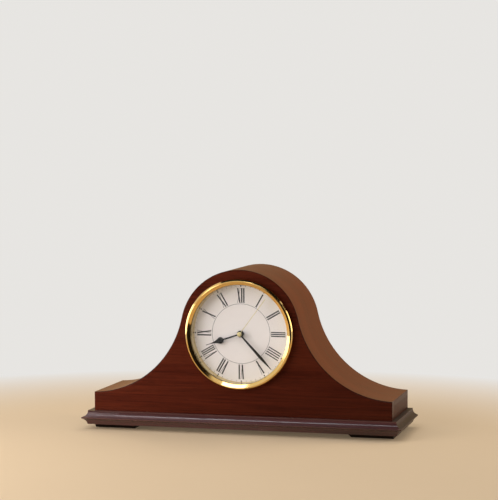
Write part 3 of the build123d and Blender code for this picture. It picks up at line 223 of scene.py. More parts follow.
grainLook = {
    "streak": {
        "stretch": (9.0, 380.0, 380.0),     # noise per metre along, across and through the grain
        "noise": {"detail": 5.0, "roughness": 0.62, "distortion": 0.25},
        "cut": (0.32, 0.68),                # this range of the noise is drawn out to 0 and 1
    },
    "figure": {
        "stretch": (2.4, 34.0, 34.0),
        "noise": {"detail": 3.0, "roughness": 0.5, "distortion": 0.8},
        "cut": (0.40, 0.66),
    },
    "pore": {
        "stretch": (60.0, 1500.0, 1500.0),
        "noise": {"detail": 1.0, "roughness": 0.5},
        "cut": (0.60, 0.74),
    },
    "poreDark": 0.45,
    "poreDeep": 0.6,
    "streakSheen": 0.6,
    "poreSheen": 0.4,
    "depth": 0.2 * mm,
}


def grainLayer(tree, grain, layer):
    pattern = noise(tree, stretch(tree, grain, layer["stretch"]), **layer["noise"])
    return remap(tree, pattern, *layer["cut"])


def makeGrainGroup():
    # veneer: fine streaks, a slow figure and short dark pores along the grain
    tree, given, result = newGroup(
        "cherryGrain",
        [("Grain", "NodeSocketVector"), ("Deep", "NodeSocketColor"), ("Mid", "NodeSocketColor"),
         ("Pale", "NodeSocketColor"), ("Figure", "NodeSocketFloat")],
        [("Color", "NodeSocketColor"), ("Sheen", "NodeSocketFloat"), ("Height", "NodeSocketFloat")],
    )
    look = grainLook
    streak = grainLayer(tree, given["Grain"], look["streak"])
    figure = grainLayer(tree, given["Grain"], look["figure"])
    pore = grainLayer(tree, given["Grain"], look["pore"])
    ground = blendColour(tree, streak, given["Deep"], given["Mid"])
    ground = blendColour(tree, calc(tree, "MULTIPLY", figure, given["Figure"]), ground, given["Pale"])
    dark = blendColour(tree, look["poreDark"], ground, colour(0.0, 0.0, 0.0))
    feed(tree, result["Color"], blendColour(tree, pore, ground, dark))
    poreSheen = calc(tree, "MULTIPLY", pore, look["poreSheen"])
    feed(tree, result["Sheen"], calc(tree, "MULTIPLY_ADD", streak, look["streakSheen"], poreSheen))
    feed(tree, result["Height"], calc(tree, "MULTIPLY_ADD", pore, -look["poreDeep"], streak))
    return tree


handlingLook = {
    "smudge": {"detail": 4.0, "roughness": 0.6, "distortion": 0.5},
    "smudgeCut": (0.35, 0.7),
    "speck": {"detail": 2.0, "roughness": 0.7},
    "speckCut": (0.3, 0.7),
    "speckFineness": 14.0,    # specks are this many times finer than smudges
}


def makeHandlingGroup():
    # faint smudges and fine specks that break up a smooth finish
    tree, given, result = newGroup(
        "handlingMarks",
        [("Place", "NodeSocketVector"), ("Scale", "NodeSocketFloat")],
        [("Smudge", "NodeSocketFloat"), ("Speck", "NodeSocketFloat")],
    )
    look = handlingLook
    speckScale = calc(tree, "MULTIPLY", given["Scale"], look["speckFineness"])
    smudge = noise(tree, given["Place"], given["Scale"], **look["smudge"])
    speck = noise(tree, given["Place"], speckScale, **look["speck"])
    feed(tree, result["Smudge"], remap(tree, smudge, *look["smudgeCut"]))
    feed(tree, result["Speck"], remap(tree, speck, *look["speckCut"]))
    return tree


grainGroup = makeGrainGroup()
handlingGroup = makeHandlingGroup()
print("shared effects ready")


# Woods

amber = (1.0, 0.86, 0.62)
plain = (1.0, 1.0, 1.0)
woodFinish = {
    "front": {
        "deep": (0.054, 0.0062, 0.0016), "mid": (0.116, 0.0155, 0.0041), "pale": (0.150, 0.0255, 0.0074),
        "figure": 0.45, "rough": (0.34, 0.46), "specular": 0.10, "glossTint": amber, "grainBump": 0.06,
    },
    # painted light: the band is the front's cherry, painted lighter where it faces up and to the side into
    # the light
    "band": {
        "deep": (0.105, 0.0125, 0.0032), "mid": (0.205, 0.0265, 0.0066), "pale": (0.245, 0.040, 0.0112),
        "figure": 0.40, "rough": (0.30, 0.42), "specular": 0.30, "glossTint": amber, "grainBump": 0.05,
    },
    # painted shade: the case's ends are the same cherry, painted darker and duller for the shade on them
    "end": {
        "deep": (0.036, 0.0068, 0.0020), "mid": (0.070, 0.0140, 0.0042), "pale": (0.090, 0.021, 0.0072),
        "figure": 0.40, "rough": (0.42, 0.54), "specular": 0.14, "glossTint": amber, "grainBump": 0.05,
    },
    # the plinth is partly its own red-brown moulding and partly painted reflection: the bluish cast in its
    # colours stands in for cool light reflected in it
    "plinth": {
        "deep": (0.012, 0.0020, 0.0019), "mid": (0.078, 0.0190, 0.0172), "pale": (0.135, 0.053, 0.055),
        "figure": 0.55, "rough": (0.12, 0.34), "specular": 0.68, "glossTint": plain, "grainBump": 0.30,
    },
    # painted shade: the plinth's ends are the same moulding, painted darker for the shade on them
    "plinthEnd": {
        "deep": (0.012, 0.0024, 0.0012), "mid": (0.050, 0.0125, 0.0060), "pale": (0.075, 0.024, 0.0140),
        "figure": 0.50, "rough": (0.46, 0.58),
    },
    "foot": {
        "deep": (0.006, 0.0026, 0.0018), "mid": (0.014, 0.0056, 0.0034), "pale": (0.019, 0.0076, 0.0044),
        "figure": 0.30, "rough": (0.50, 0.65), "specular": 0.15, "glossTint": plain, "grainBump": 0.08,
    },
    "batten": {
        "deep": (0.40, 0.24, 0.11), "mid": (0.60, 0.41, 0.22), "pale": (0.68, 0.50, 0.29),
        "figure": 0.60, "rough": (0.60, 0.75), "specular": 0.25, "glossTint": plain, "grainBump": 0.15,
    },
}
caseShape = {
    "archLift": 3.7 * mm,        # centre of the arch above the dial's centre
    "sweepOverrun": 3.4 * mm,    # the hollow sweeps bottom out this far past the ends
    "shoulder": 24.5 * mm,       # height of the shoulders above the plinth
    "bandThickness": 7.0 * mm,
    "skin": 0.4 * mm,            # this near to an inner face counts as that face
    "endSkin": 0.3 * mm,         # this near to the case's ends counts as an end
    "rim": 1.0 * mm,             # finished edge round the bare inside
}


def grainAlong(order):
    # order names the object axes that run along, across and through the grain
    def makeGrain(tree):
        axes = placeAxes(tree)
        return combine(tree, *[axes["XYZ".index(letter)] for letter in order])
    return makeGrain


def grainRoundBand(tree):
    # along the grain is the distance round the bend, through it the distance from the bent face
    archZ = dialCentre.z + caseShape["archLift"]
    archRadius = bandTop - archZ
    shoulderZ = plinthTop + caseShape["shoulder"]
    sweepX = panelHigh.x + caseShape["sweepOverrun"]
    drop = archZ - shoulderZ
    sweepRadius = (sweepX ** 2 + drop ** 2 - archRadius ** 2) / (2 * (archRadius + drop))
    sweepZ = shoulderZ + sweepRadius
    joinTurn = math.atan2(sweepX, sweepZ - archZ)
    x, y, z = placeAxes(tree)
    across = calc(tree, "ABSOLUTE", x)
    archUp = calc(tree, "SUBTRACT", z, archZ)
    sweepAcross = calc(tree, "SUBTRACT", sweepX, across)
    sweepDown = calc(tree, "SUBTRACT", sweepZ, z)
    archTurn = calc(tree, "ARCTAN2", across, archUp)
    sweepTurn = calc(tree, "SUBTRACT", joinTurn, calc(tree, "ARCTAN2", sweepAcross, sweepDown))
    archRun = calc(tree, "MULTIPLY", archTurn, archRadius)
    sweepRun = calc(tree, "MULTIPLY_ADD", sweepTurn, sweepRadius, joinTurn * archRadius)
    archDepth = calc(tree, "SUBTRACT", reach(tree, across, archUp), archRadius)
    sweepDepth = calc(tree, "SUBTRACT", sweepRadius, reach(tree, sweepAcross, sweepDown))
    onSweep = calc(tree, "GREATER_THAN", archTurn, joinTurn)
    run = calc(tree, "MULTIPLY", calc(tree, "SIGN", x), blendValue(tree, onSweep, archRun, sweepRun))
    return combine(tree, run, y, blendValue(tree, onSweep, archDepth, sweepDepth))


def depthUnderBand(tree):
    return separate(tree, grainRoundBand(tree))[2]


def plinthReturns(tree):
    # the front moulding runs along X and the end returns along Y, met in a mitre
    pastEnd = calc(tree, "SUBTRACT", sideways(tree), panelHigh.x)
    pastFront = calc(tree, "SUBTRACT", panelLow.y, placeAxes(tree)[1])
    pastBoth = calc(tree, "SUBTRACT", pastEnd, calc(tree, "MAXIMUM", pastFront, 0.0))
    return calc(tree, "GREATER_THAN", pastBoth, 0.0)


def caseEnds(tree):
    return calc(tree, "GREATER_THAN", sideways(tree), panelHigh.x - caseShape["endSkin"])


def betweenEnds(tree):
    return calc(tree, "LESS_THAN", sideways(tree), panelHigh.x - caseShape["rim"])


def aheadOfBack(tree):
    return calc(tree, "LESS_THAN", placeAxes(tree)[1], backInner)


def insideFront(tree):
    atBack = calc(tree, "GREATER_THAN", placeAxes(tree)[1], panelHigh.y - caseShape["skin"])
    underBand = calc(tree, "LESS_THAN", depthUnderBand(tree), -caseShape["rim"])
    return allOf(tree, atBack, underBand, betweenEnds(tree))


def insideBand(tree):
    inner = calc(tree, "LESS_THAN", depthUnderBand(tree), caseShape["skin"] - caseShape["bandThickness"])
    return allOf(tree, inner, aheadOfBack(tree), betweenEnds(tree))


def insideEnd(tree):
    inner = calc(tree, "LESS_THAN", sideways(tree), endInner + caseShape["skin"])
    return allOf(tree, inner, aheadOfBack(tree))


def placeGrain(tree, look, grain):
    # the veneer's own group, with its roughness
    tints = {label: colour(*look[label.lower()]) for label in ("Deep", "Mid", "Pale")}
    made = placeGroup(tree, grainGroup, Grain=grain, Figure=look["figure"], **tints)
    return made, remap(tree, made["Sheen"], 0.0, 1.0, *look["rough"])


def bareInside(tree, mask, tint, rough):
    # faces that look into the case are unfinished wood
    bare, bareRough = placeGrain(tree, woodFinish["batten"], grainAlong("XZY")(tree))
    return blendColour(tree, mask, tint, bare["Color"]), blendValue(tree, mask, rough, bareRough)


def woodMaterial(name, look, makeGrain, endLook=None, endMask=None, bareMask=None):
    material, tree, shader = newMaterial(name)
    grain, rough = placeGrain(tree, look, makeGrain(tree))
    tint = grain["Color"]
    if endLook:
        # the ends show their own grain, running front to back, in colours painted darker for the shade on
        # them
        mask = endMask(tree)
        side, sideRough = placeGrain(tree, endLook, grainAlong("YZX")(tree))
        tint = blendColour(tree, mask, tint, side["Color"])
        rough = blendValue(tree, mask, rough, sideRough)
    if bareMask:
        tint, rough = bareInside(tree, bareMask(tree), tint, rough)
    feed(tree, shader["Base Color"], tint)
    feed(tree, shader["Roughness"], rough)
    feed(tree, shader["Normal"], bump(tree, grain["Height"], look["grainBump"], grainLook["depth"]))
    shader["Specular IOR Level"].default_value = look["specular"]
    shader["Specular Tint"].default_value = colour(*look["glossTint"])
    return material


frontLook = {
    "line": (0.10 * mm, 0.45 * mm),    # depths between which the painted shade line along the board's rounded edge fades in
    "lineShade": 0.30,
    "edge": (1.20 * mm, 1.60 * mm),    # past these the board's edge is veneered like the top
    "edgeGloss": 0.36,
    "edgeGlossRough": 0.36,
    "paintedShadeLeft": 0.0,                   # painted shade: how much darker the veneer is painted at either end, as less light falls on the right
    "paintedShadeRight": 0.40,
    "paintedShadeTint": (0.004, 0.0008, 0.0004),
    "cloud": {"scale": 6.0, "detail": 2.0, "roughness": 0.5},
    "cloudShift": 0.5,                 # how far the cloud moves that painted shade, in half widths
}


def paintedShadeAlongFront(tree, tint):
    # painted shade: the veneer is painted darker towards the right end, where less light falls, with a
    # cloud moving where it starts
    look = frontLook
    cloud = calc(tree, "SUBTRACT", noise(tree, objectPlace(tree), **look["cloud"]), 0.5)
    place = calc(tree, "MULTIPLY_ADD", cloud, look["cloudShift"] * panelHigh.x, placeAxes(tree)[0])
    paintedShade = remap(tree, place, panelLow.x, panelHigh.x, look["paintedShadeLeft"], look["paintedShadeRight"])
    return blendColour(tree, paintedShade, tint, colour(*look["paintedShadeTint"]))


def frontMaterial():
    look = frontLook
    front = woodFinish["front"]
    material, tree, shader = newMaterial("frontVeneer")
    face, faceRough = placeGrain(tree, front, grainAlong("XZY")(tree))
    bent, bentRough = placeGrain(tree, woodFinish["band"], grainRoundBand(tree))
    side = placeGrain(tree, woodFinish["end"], grainAlong("YZX")(tree))[0]
    depth = calc(tree, "SUBTRACT", placeAxes(tree)[1], panelLow.y)
    edge = remap(tree, depth, *look["edge"])
    ends = caseEnds(tree)
    bare = insideFront(tree)
    # painted shade darkens the veneer towards the right end
    board = paintedShadeAlongFront(tree, face["Color"])
    # painted shade: a dark line along the rounded front edge of the board
    paintedEdgeShade = blendColour(tree, look["lineShade"], colour(0.0, 0.0, 0.0), board)
    tint = blendColour(tree, remap(tree, depth, *look["line"]), board, paintedEdgeShade)
    tint = blendColour(tree, edge, tint, bent["Color"])
    tint = blendColour(tree, ends, tint, side["Color"])
    tint, rough = bareInside(tree, bare, tint, blendValue(tree, edge, faceRough, bentRough))
    gloss = calc(tree, "SUBTRACT", calc(tree, "SUBTRACT", edge, ends), bare)
    coat = calc(tree, "MULTIPLY", gloss, look["edgeGloss"])
    feed(tree, shader["Base Color"], tint)
    feed(tree, shader["Roughness"], rough)
    feed(tree, shader["Coat Weight"], calc(tree, "MAXIMUM", coat, 0.0))
    feed(tree, shader["Normal"], bump(tree, face["Height"], front["grainBump"], grainLook["depth"]))
    shader["Coat Roughness"].default_value = look["edgeGlossRough"]
    shader["Coat Tint"].default_value = colour(*amber)
    shader["Specular IOR Level"].default_value = front["specular"]
    return material


backBoardLook = {
    "stretch": (300.0, 300.0, 900.0),
    "fibre": {"detail": 4.0, "roughness": 0.7},
    "mottle": {"scale": 18.0, "detail": 3.0, "roughness": 0.55},
    "mottleCut": (0.35, 0.7, 0.0, 0.4),    # the noise between the first two becomes the last two
    "dark": (0.060, 0.022, 0.012),
    "light": (0.120, 0.050, 0.028),
    "mottled": (0.15, 0.07, 0.04),
    "roughCut": (0.3, 0.7, 0.5, 0.7),
    "relief": (0.2, 0.15 * mm),            # strength and depth of the bump
}


def backBoardMaterial():
    look = backBoardLook
    material, tree, shader = newMaterial("backBoard")
    place = objectPlace(tree)
    fibre = noise(tree, stretch(tree, place, look["stretch"]), **look["fibre"])
    mottle = remap(tree, noise(tree, place, **look["mottle"]), *look["mottleCut"])
    ground = blendTints(tree, fibre, look["dark"], look["light"])
    feed(tree, shader["Base Color"], blendColour(tree, mottle, ground, colour(*look["mottled"])))
    feed(tree, shader["Roughness"], remap(tree, fibre, *look["roughCut"]))
    feed(tree, shader["Normal"], bump(tree, fibre, *look["relief"]))
    return material


# Metals, plastics, paint and glass

markDepth = 0.02 * mm


def metalMaterial(name, tint, dullTint, rough, markScale=60.0, markBump=0.02):
    material, tree, shader = newMaterial(name)
    marks = placeGroup(tree, handlingGroup, Place=objectPlace(tree), Scale=markScale)
    feed(tree, shader["Base Color"], blendTints(tree, marks["Smudge"], tint, dullTint))
    feed(tree, shader["Roughness"], remap(tree, marks["Smudge"], 0.0, 1.0, *rough))
    feed(tree, shader["Normal"], bump(tree, marks["Speck"], markBump, markDepth))
    shader["Metallic"].default_value = 1.0
    return material


plasticLook = {
    "markScale": 45.0,
    "wornShade": 0.82,
    "texture": {"detail": 2.0, "roughness": 0.6},
    "textureDepth": 0.05 * mm,
}


def plasticMaterial(name, tint, rough, textureScale=2600.0, textureBump=0.15, specular=0.5):
    look = plasticLook
    material, tree, shader = newMaterial(name)
    place = objectPlace(tree)
    marks = placeGroup(tree, handlingGroup, Place=place, Scale=look["markScale"])
    texture = noise(tree, place, textureScale, **look["texture"])
    worn = [look["wornShade"] * channel for channel in tint]
    feed(tree, shader["Base Color"], blendTints(tree, marks["Smudge"], tint, worn))
    feed(tree, shader["Roughness"], remap(tree, marks["Smudge"], 0.0, 1.0, *rough))
    feed(tree, shader["Normal"], bump(tree, texture, textureBump, look["textureDepth"]))
    shader["Specular IOR Level"].default_value = specular
    return material


speckledLook = {
    "pressedFelt": {
        "dark": (0.012, 0.022, 0.015), "light": (0.05, 0.075, 0.055), "rough": (0.85, 1.0),
        "speck": {"scale": 1400.0, "detail": 4.0, "roughness": 0.8}, "relief": (0.6, 0.3 * mm),
        "plain": {"Sheen Weight": 0.4},
    },
    "dialPaint": {
        "dark": (0.79, 0.745, 0.725), "light": (0.83, 0.785, 0.765), "rough": (0.45, 0.6),
        "speck": {"scale": 900.0, "detail": 3.0, "roughness": 0.6}, "relief": (0.05, 0.02 * mm),
        "plain": {"Specular IOR Level": 0.3},
    },
    "dialInk": {
        "dark": (0.006, 0.006, 0.007), "light": (0.014, 0.013, 0.014), "rough": (0.45, 0.6),
        "speck": {"scale": 1200.0, "detail": 3.0, "roughness": 0.6}, "relief": None,
        "plain": {},
    },
    "conePaper": {
        "dark": (0.02, 0.02, 0.02), "light": (0.07, 0.068, 0.065), "rough": (0.8, 0.95),
        "speck": {"scale": 700.0, "detail": 4.0, "roughness": 0.7}, "relief": (0.4, 0.2 * mm),
        "plain": {},
    },
}


def speckledMaterial(name):
    # two close shades mixed by a fine noise, which gives the roughness and the relief too
    look = speckledLook[name]
    material, tree, shader = newMaterial(name)
    speck = noise(tree, objectPlace(tree), **look["speck"])
    feed(tree, shader["Base Color"], blendTints(tree, speck, look["dark"], look["light"]))
    feed(tree, shader["Roughness"], remap(tree, speck, 0.0, 1.0, *look["rough"]))
    if look["relief"]:
        feed(tree, shader["Normal"], bump(tree, speck, *look["relief"]))
    for label, value in look["plain"].items():
        shader[label].default_value = value
    return material


crystalLook = {"markScale": 30.0, "rough": (0.0, 0.02), "index": 1.45}


def glassMaterial():
    # shadow rays pass straight through, so that the dial is lit
    material, tree, shader = newMaterial("clearCrystal")
    marks = placeGroup(tree, handlingGroup, Place=objectPlace(tree), Scale=crystalLook["markScale"])
    shader["Base Color"].default_value = colour(1.0, 1.0, 1.0)
    feed(tree, shader["Roughness"], remap(tree, marks["Smudge"], 0.0, 1.0, *crystalLook["rough"]))
    shader["Transmission Weight"].default_value = 1.0
    shader["IOR"].default_value = crystalLook["index"]
    shadow = addNode(tree, "ShaderNodeLightPath").outputs["Is Shadow Ray"]
    clear = addNode(tree, "ShaderNodeBsdfTransparent").outputs[0]
    mixSurface(tree, shadow, tree.nodes["Principled BSDF"].outputs[0], clear)
    return material


coilLook = {
    "turnScale": 2400.0,
    "gap": (0.20, 0.055, 0.02),
    "wire": (0.62, 0.24, 0.09),
    "relief": (0.5, 0.1 * mm),
    "metallic": 0.7,
    "rough": 0.35,
}


def coilMaterial():
    look = coilLook
    material, tree, shader = newMaterial("woundCopper")
    wave = addNode(tree, "ShaderNodeTexWave", wave_type="BANDS", bands_direction="X")
    feed(tree, wave.inputs["Vector"], objectPlace(tree))
    wave.inputs["Scale"].default_value = look["turnScale"]
    turns = wave.outputs["Fac"]
    feed(tree, shader["Base Color"], blendTints(tree, turns, look["gap"], look["wire"]))
    feed(tree, shader["Normal"], bump(tree, turns, *look["relief"]))
    shader["Metallic"].default_value = look["metallic"]
    shader["Roughness"].default_value = look["rough"]
    return material


boardLook = {
    "trackScale": 260.0,
    "trackCut": (0.04, 0.08, 1.0, 0.0),
    "ground": (0.012, 0.075, 0.030),
    "track": (0.03, 0.14, 0.055),
    "rough": (0.3, 0.4),
    "relief": (0.3, 0.04 * mm),
}


def boardMaterial():
    look = boardLook
    material, tree, shader = newMaterial("solderMask")
    cells = addNode(tree, "ShaderNodeTexVoronoi", feature="DISTANCE_TO_EDGE")
    feed(tree, cells.inputs["Vector"], objectPlace(tree))
    cells.inputs["Scale"].default_value = look["trackScale"]
    track = remap(tree, cells.outputs["Distance"], *look["trackCut"])
    feed(tree, shader["Base Color"], blendTints(tree, track, look["ground"], look["track"]))
    feed(tree, shader["Roughness"], remap(tree, track, 0.0, 1.0, *look["rough"]))
    feed(tree, shader["Normal"], bump(tree, track, *look["relief"]))
    return material


cellLook = {
    "wrap": (0.035, 0.050, 0.085),
    "band": (0.36, 0.37, 0.39),
    "bandFrom": 15.0 * mm,    # distance from the middle of the cell
    "steel": (0.62, 0.61, 0.59),
    "steelFrom": 24.3 * mm,
    "markScale": 80.0,
    "rough": (0.28, 0.42),
}


def cellMaterial():
    look = cellLook
    material, tree, shader = newMaterial("cellWrap")
    along = sideways(tree)
    marks = placeGroup(tree, handlingGroup, Place=objectPlace(tree), Scale=look["markScale"])
    bare = calc(tree, "GREATER_THAN", along, look["steelFrom"])
    banded = calc(tree, "GREATER_THAN", along, look["bandFrom"])
    ground = blendTints(tree, banded, look["wrap"], look["band"])
    feed(tree, shader["Base Color"], blendColour(tree, bare, ground, colour(*look["steel"])))
    feed(tree, shader["Metallic"], bare)
    feed(tree, shader["Roughness"], remap(tree, marks["Smudge"], 0.0, 1.0, *look["rough"]))
    return material


knobTint = (0.50, 0.49, 0.46)
knobRough = (0.40, 0.52)
pointerSlot = {
    "half": 0.45 * mm,       # half the slot's width, with its walls
    "skin": 0.1 * mm,        # the knob's face stays bare down to here
    "floor": 1.0 * mm,
    "paint": (0.35, 0.015, 0.012),
}


def volumeKnobMaterial():
    # moulding with paint in its pointer slot
    material = plasticMaterial("volumeMoulding", knobTint, knobRough)
    tree = material.node_tree
    base = tree.nodes["Principled BSDF"].inputs["Base Color"]
    low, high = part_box("volume_knob")
    x, y, z = placeAxes(tree)
    aside = calc(tree, "ABSOLUTE", calc(tree, "SUBTRACT", x, (low.x + high.x) / 2))
    sunk = calc(tree, "SUBTRACT", high.y, y)
    inSlot = allOf(
        tree,
        calc(tree, "LESS_THAN", aside, pointerSlot["half"]),
        calc(tree, "GREATER_THAN", z, (low.z + high.z) / 2),
        calc(tree, "GREATER_THAN", sunk, pointerSlot["skin"]),
        calc(tree, "LESS_THAN", sunk, pointerSlot["floor"]),
    )
    feed(tree, base, blendColour(tree, inSlot, base.links[0].from_socket, colour(*pointerSlot["paint"])))
    return material


# One finish for each material slot of the record
finishes = {
    "front_wood": frontMaterial(),
    "band_wood": woodMaterial(
        "bandVeneer", woodFinish["band"], grainRoundBand, woodFinish["end"], caseEnds, insideBand,
    ),
    "plinth_wood": woodMaterial(
        "plinthMoulding", woodFinish["plinth"], grainAlong("XZY"), woodFinish["plinthEnd"], plinthReturns,
    ),
    "foot_wood": woodMaterial("footStain", woodFinish["foot"], grainAlong("YZX")),
    "batten_wood": woodMaterial("battenSoftwood", woodFinish["batten"], grainAlong("XZY")),
    "back_board": backBoardMaterial(),
    "felt": speckledMaterial("pressedFelt"),
    "bezel_brass": metalMaterial("polishedBrass", (0.88, 0.59, 0.22), (0.84, 0.54, 0.18), (0.07, 0.11)),
    "spacer_brass": metalMaterial("spacerBrass", (0.80, 0.66, 0.36), (0.74, 0.60, 0.31), (0.16, 0.24)),
    "hinge_brass": metalMaterial(
        "hingeBrass", (0.70, 0.50, 0.21), (0.62, 0.43, 0.17), (0.24, 0.36), markScale=110.0, markBump=0.01,
    ),
    "screw_brass": metalMaterial(
        "screwBrass", (0.74, 0.54, 0.24), (0.52, 0.36, 0.15), (0.22, 0.38), markScale=160.0,
    ),
    "hand_brass": metalMaterial(
        "handBrass", (0.72, 0.64, 0.34), (0.62, 0.54, 0.27), (0.26, 0.36), markScale=200.0,
    ),
    "screw_steel": metalMaterial(
        "screwSteel", (0.58, 0.58, 0.57), (0.42, 0.42, 0.41), (0.28, 0.45), markScale=160.0,
    ),
    "plate_steel": metalMaterial(
        "plateSteel", (0.50, 0.50, 0.50), (0.38, 0.38, 0.37), (0.30, 0.45), markScale=120.0,
    ),
    "contact_nickel": metalMaterial(
        "contactNickel", (0.72, 0.70, 0.66), (0.60, 0.58, 0.54), (0.15, 0.28), markScale=200.0,
    ),
    "speaker_steel": metalMaterial(
        "speakerBasket", (0.42, 0.42, 0.42), (0.34, 0.34, 0.33), (0.35, 0.5), markScale=90.0,
    ),
    "magnet_iron": metalMaterial(
        "ferriteMagnet", (0.10, 0.10, 0.10), (0.07, 0.07, 0.07), (0.5, 0.65), markScale=200.0, markBump=0.2,
    ),
    "clear_glass": glassMaterial(),
    "dial_white": speckledMaterial("dialPaint"),
    "pan_steel": plasticMaterial(
        "panPaint", (0.035, 0.035, 0.035), (0.40, 0.55), textureScale=1500.0, textureBump=0.1,
    ),
    "hand_black": plasticMaterial(
        "handPaint", (0.005, 0.005, 0.005), (0.45, 0.60), textureScale=3000.0, textureBump=0.04,
        specular=0.15,
    ),
    "black_rubber": plasticMaterial("washerRubber", (0.012, 0.012, 0.012), (0.65, 0.80)),
    "black_plastic": plasticMaterial("blackMoulding", (0.018, 0.018, 0.019), (0.42, 0.56)),
    "grey_plastic": plasticMaterial("greyMoulding", (0.20, 0.20, 0.21), (0.40, 0.52)),
    "gear_white": plasticMaterial(
        "gearMoulding", (0.78, 0.77, 0.72), (0.35, 0.48), textureScale=3200.0, textureBump=0.06,
    ),
    "knob_plastic": plasticMaterial("knobMoulding", knobTint, knobRough),
    "chip_black": plasticMaterial(
        "chipMoulding", (0.012, 0.012, 0.013), (0.25, 0.38), textureScale=3600.0, textureBump=0.05,
    ),
    "coil_copper": coilMaterial(),
    "board_green": boardMaterial(),
    "cell_wrap": cellMaterial(),
    "cone_paper": speckledMaterial("conePaper"),
}


def dress(node, material):
    for slot in nodes[node].material_slots:
        slot.material = material


for subpart in frame["record"]["subparts"]:
    dress(subpart["node"], finishes[subpart["material_slot"]])
endWood = woodMaterial("endVeneer", woodFinish["end"], grainAlong("YZX"), bareMask=insideEnd)
for side in ("left", "right"):
    dress(f"{side}_end_panel", endWood)
dress("volume_knob", volumeKnobMaterial())
print("finishes assigned")


# Print on the dial

printLook = {
    "thickness": 0.05 * mm,
    "numeralFoot": 41.2 * mm,   # radius at the feet of the numerals
    "numeralTop": 60.6 * mm,
    "bar": 1.85 * mm,
    "slimBar": 1.5 * mm,        # stroke where three or four stand together
    "hairline": 0.5 * mm,
    "gap": 1.05 * mm,
    "ownGap": {"IIII": 1.65 * mm, "VIII": 1.08 * mm},
    "letterWidth": {"V": 4.4 * mm, "X": 4.4 * mm},
    "crossLean": 0.25,          # feet of an X stand this share of a bar to the left
    "serif": 0.4 * mm,
    "serifReach": 0.35 * mm,
    "ringRadius": 39.75 * mm,
    "ringWidth": 0.45 * mm,
    "ringSteps": 180,
    "dotRadius": 0.95 * mm,
    "dotPlace": 63.4 * mm,
    "dotSides": 20,
    "tickFrom": 62.7 * mm,
    "tickTo": 64.1 * mm,
    "tickWidth": 0.4 * mm,
}
numerals = ["XII", "I", "II", "III", "IIII", "V", "VI", "VII", "VIII", "IX", "X", "XI"]
dialInk = speckledMaterial("dialInk")


def onDial(turn, side, radius):
    # a point on the dial: side is measured to the right of the hour line, seen from the front
    along = Vector((math.sin(turn), 0, math.cos(turn)))
    across = Vector((math.cos(turn), 0, -math.sin(turn)))
    return dialCentre + along * radius + across * side


def inkFace(mesh, corners):
    mesh.faces.new([mesh.verts.new(corner) for corner in corners])


def inkBar(mesh, turn, fromRadius, toRadius, fromSide, toSide, width):
    # a stroke from one radius to another, with both ends square to the hour line
    half = width / 2
    inkFace(mesh, [
        onDial(turn, fromSide - half, fromRadius), onDial(turn, fromSide + half, fromRadius),
        onDial(turn, toSide + half, toRadius), onDial(turn, toSide - half, toRadius),
    ])


def inkDot(mesh, place, radius, sides):
    flat = Matrix.Translation(place) @ Matrix.Rotation(math.pi / 2, 4, "X")
    bmesh.ops.create_circle(mesh, cap_ends=True, segments=sides, radius=radius, matrix=flat)


def drawLetter(mesh, turn, letter, side, width, bar):
    look = printLook
    foot = look["numeralFoot"]
    top = look["numeralTop"]
    hairline = look["hairline"]
    middle = side + width / 2
    left = side + bar / 2
    right = side + width - hairline / 2
    lean = bar * look["crossLean"]
    strokes = {    # place at the foot, place at the top and thickness
        "I": [(middle, middle, bar)],
        "V": [(middle, left, bar), (middle, right, hairline)],
        "X": [(right - lean, left, bar), (left - lean, right, hairline)],
    }[letter]
    for footSide, topSide, thickness in strokes:
        serifWidth = thickness + 2 * look["serifReach"]
        inkBar(mesh, turn, foot, top, footSide, topSide, thickness)
        inkBar(mesh, turn, top, top - look["serif"], topSide, topSide, serifWidth)
        if letter != "V":
            inkBar(mesh, turn, foot, foot + look["serif"], footSide, footSide, serifWidth)


def drawNumeral(mesh, turn, text):
    look = printLook
    gap = look["ownGap"].get(text, look["gap"])
    bar = look["slimBar"] if text.count("I") > 2 else look["bar"]
    widths = [look["letterWidth"].get(letter, bar) for letter in text]
    side = -(sum(widths) + gap * (len(text) - 1)) / 2
    for letter, width in zip(text, widths):
        drawLetter(mesh, turn, letter, side, width, bar)
        side += width + gap


def finishPrint(mesh, name, rise, ink):
    # thin film standing off what carries it
    lifted = bmesh.ops.extrude_face_region(mesh, geom=list(mesh.faces))
    moved = [item for item in lifted["geom"] if isinstance(item, bmesh.types.BMVert)]
    bmesh.ops.translate(mesh, vec=(0, rise, 0), verts=moved)
    bmesh.ops.recalc_face_normals(mesh, faces=list(mesh.faces))
    piece = meshObject(mesh, name, ink)
    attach(piece, "case")


def finishDialPrint(mesh, name):
    finishPrint(mesh, name, -printLook["thickness"], dialInk)


def makeNumerals():
    mesh = bmesh.new()
    for hour, text in enumerate(numerals):
        drawNumeral(mesh, math.radians(30 * hour), text)
    finishDialPrint(mesh, "dialNumerals")


def makeMinuteTrack():
    look = printLook
    mesh = bmesh.new()
    for minute in range(60):
        turn = math.radians(6 * minute)
        if minute % 5:
            inkBar(mesh, turn, look["tickFrom"], look["tickTo"], 0, 0, look["tickWidth"])
        else:
            inkDot(mesh, onDial(turn, 0, look["dotPlace"]), look["dotRadius"], look["dotSides"])
    finishDialPrint(mesh, "minuteTrack")


def spinLine(mesh, places, centre, sweep, steps):
    # turns a line about the depth, into a full ring where the sweep is 360 degrees
    line = [mesh.verts.new(place) for place in places]
    edges = [mesh.edges.new(pair) for pair in zip(line, line[1:])]
    bmesh.ops.spin(
        mesh, geom=line + edges, cent=centre, axis=(0, 1, 0), angle=math.radians(sweep), steps=steps,
        use_merge=sweep == 360,
    )


def makeChapterRing():
    look = printLook
    mesh = bmesh.new()
    half = look["ringWidth"] / 2
    start = [onDial(0, 0, look["ringRadius"] + side * half) for side in (-1, 1)]
    spinLine(mesh, start, dialCentre, 360, look["ringSteps"])
    finishDialPrint(mesh, "chapterRing")


makeNumerals()
makeMinuteTrack()
makeChapterRing()
print("dial printed")


# Marks printed on the back of the movement

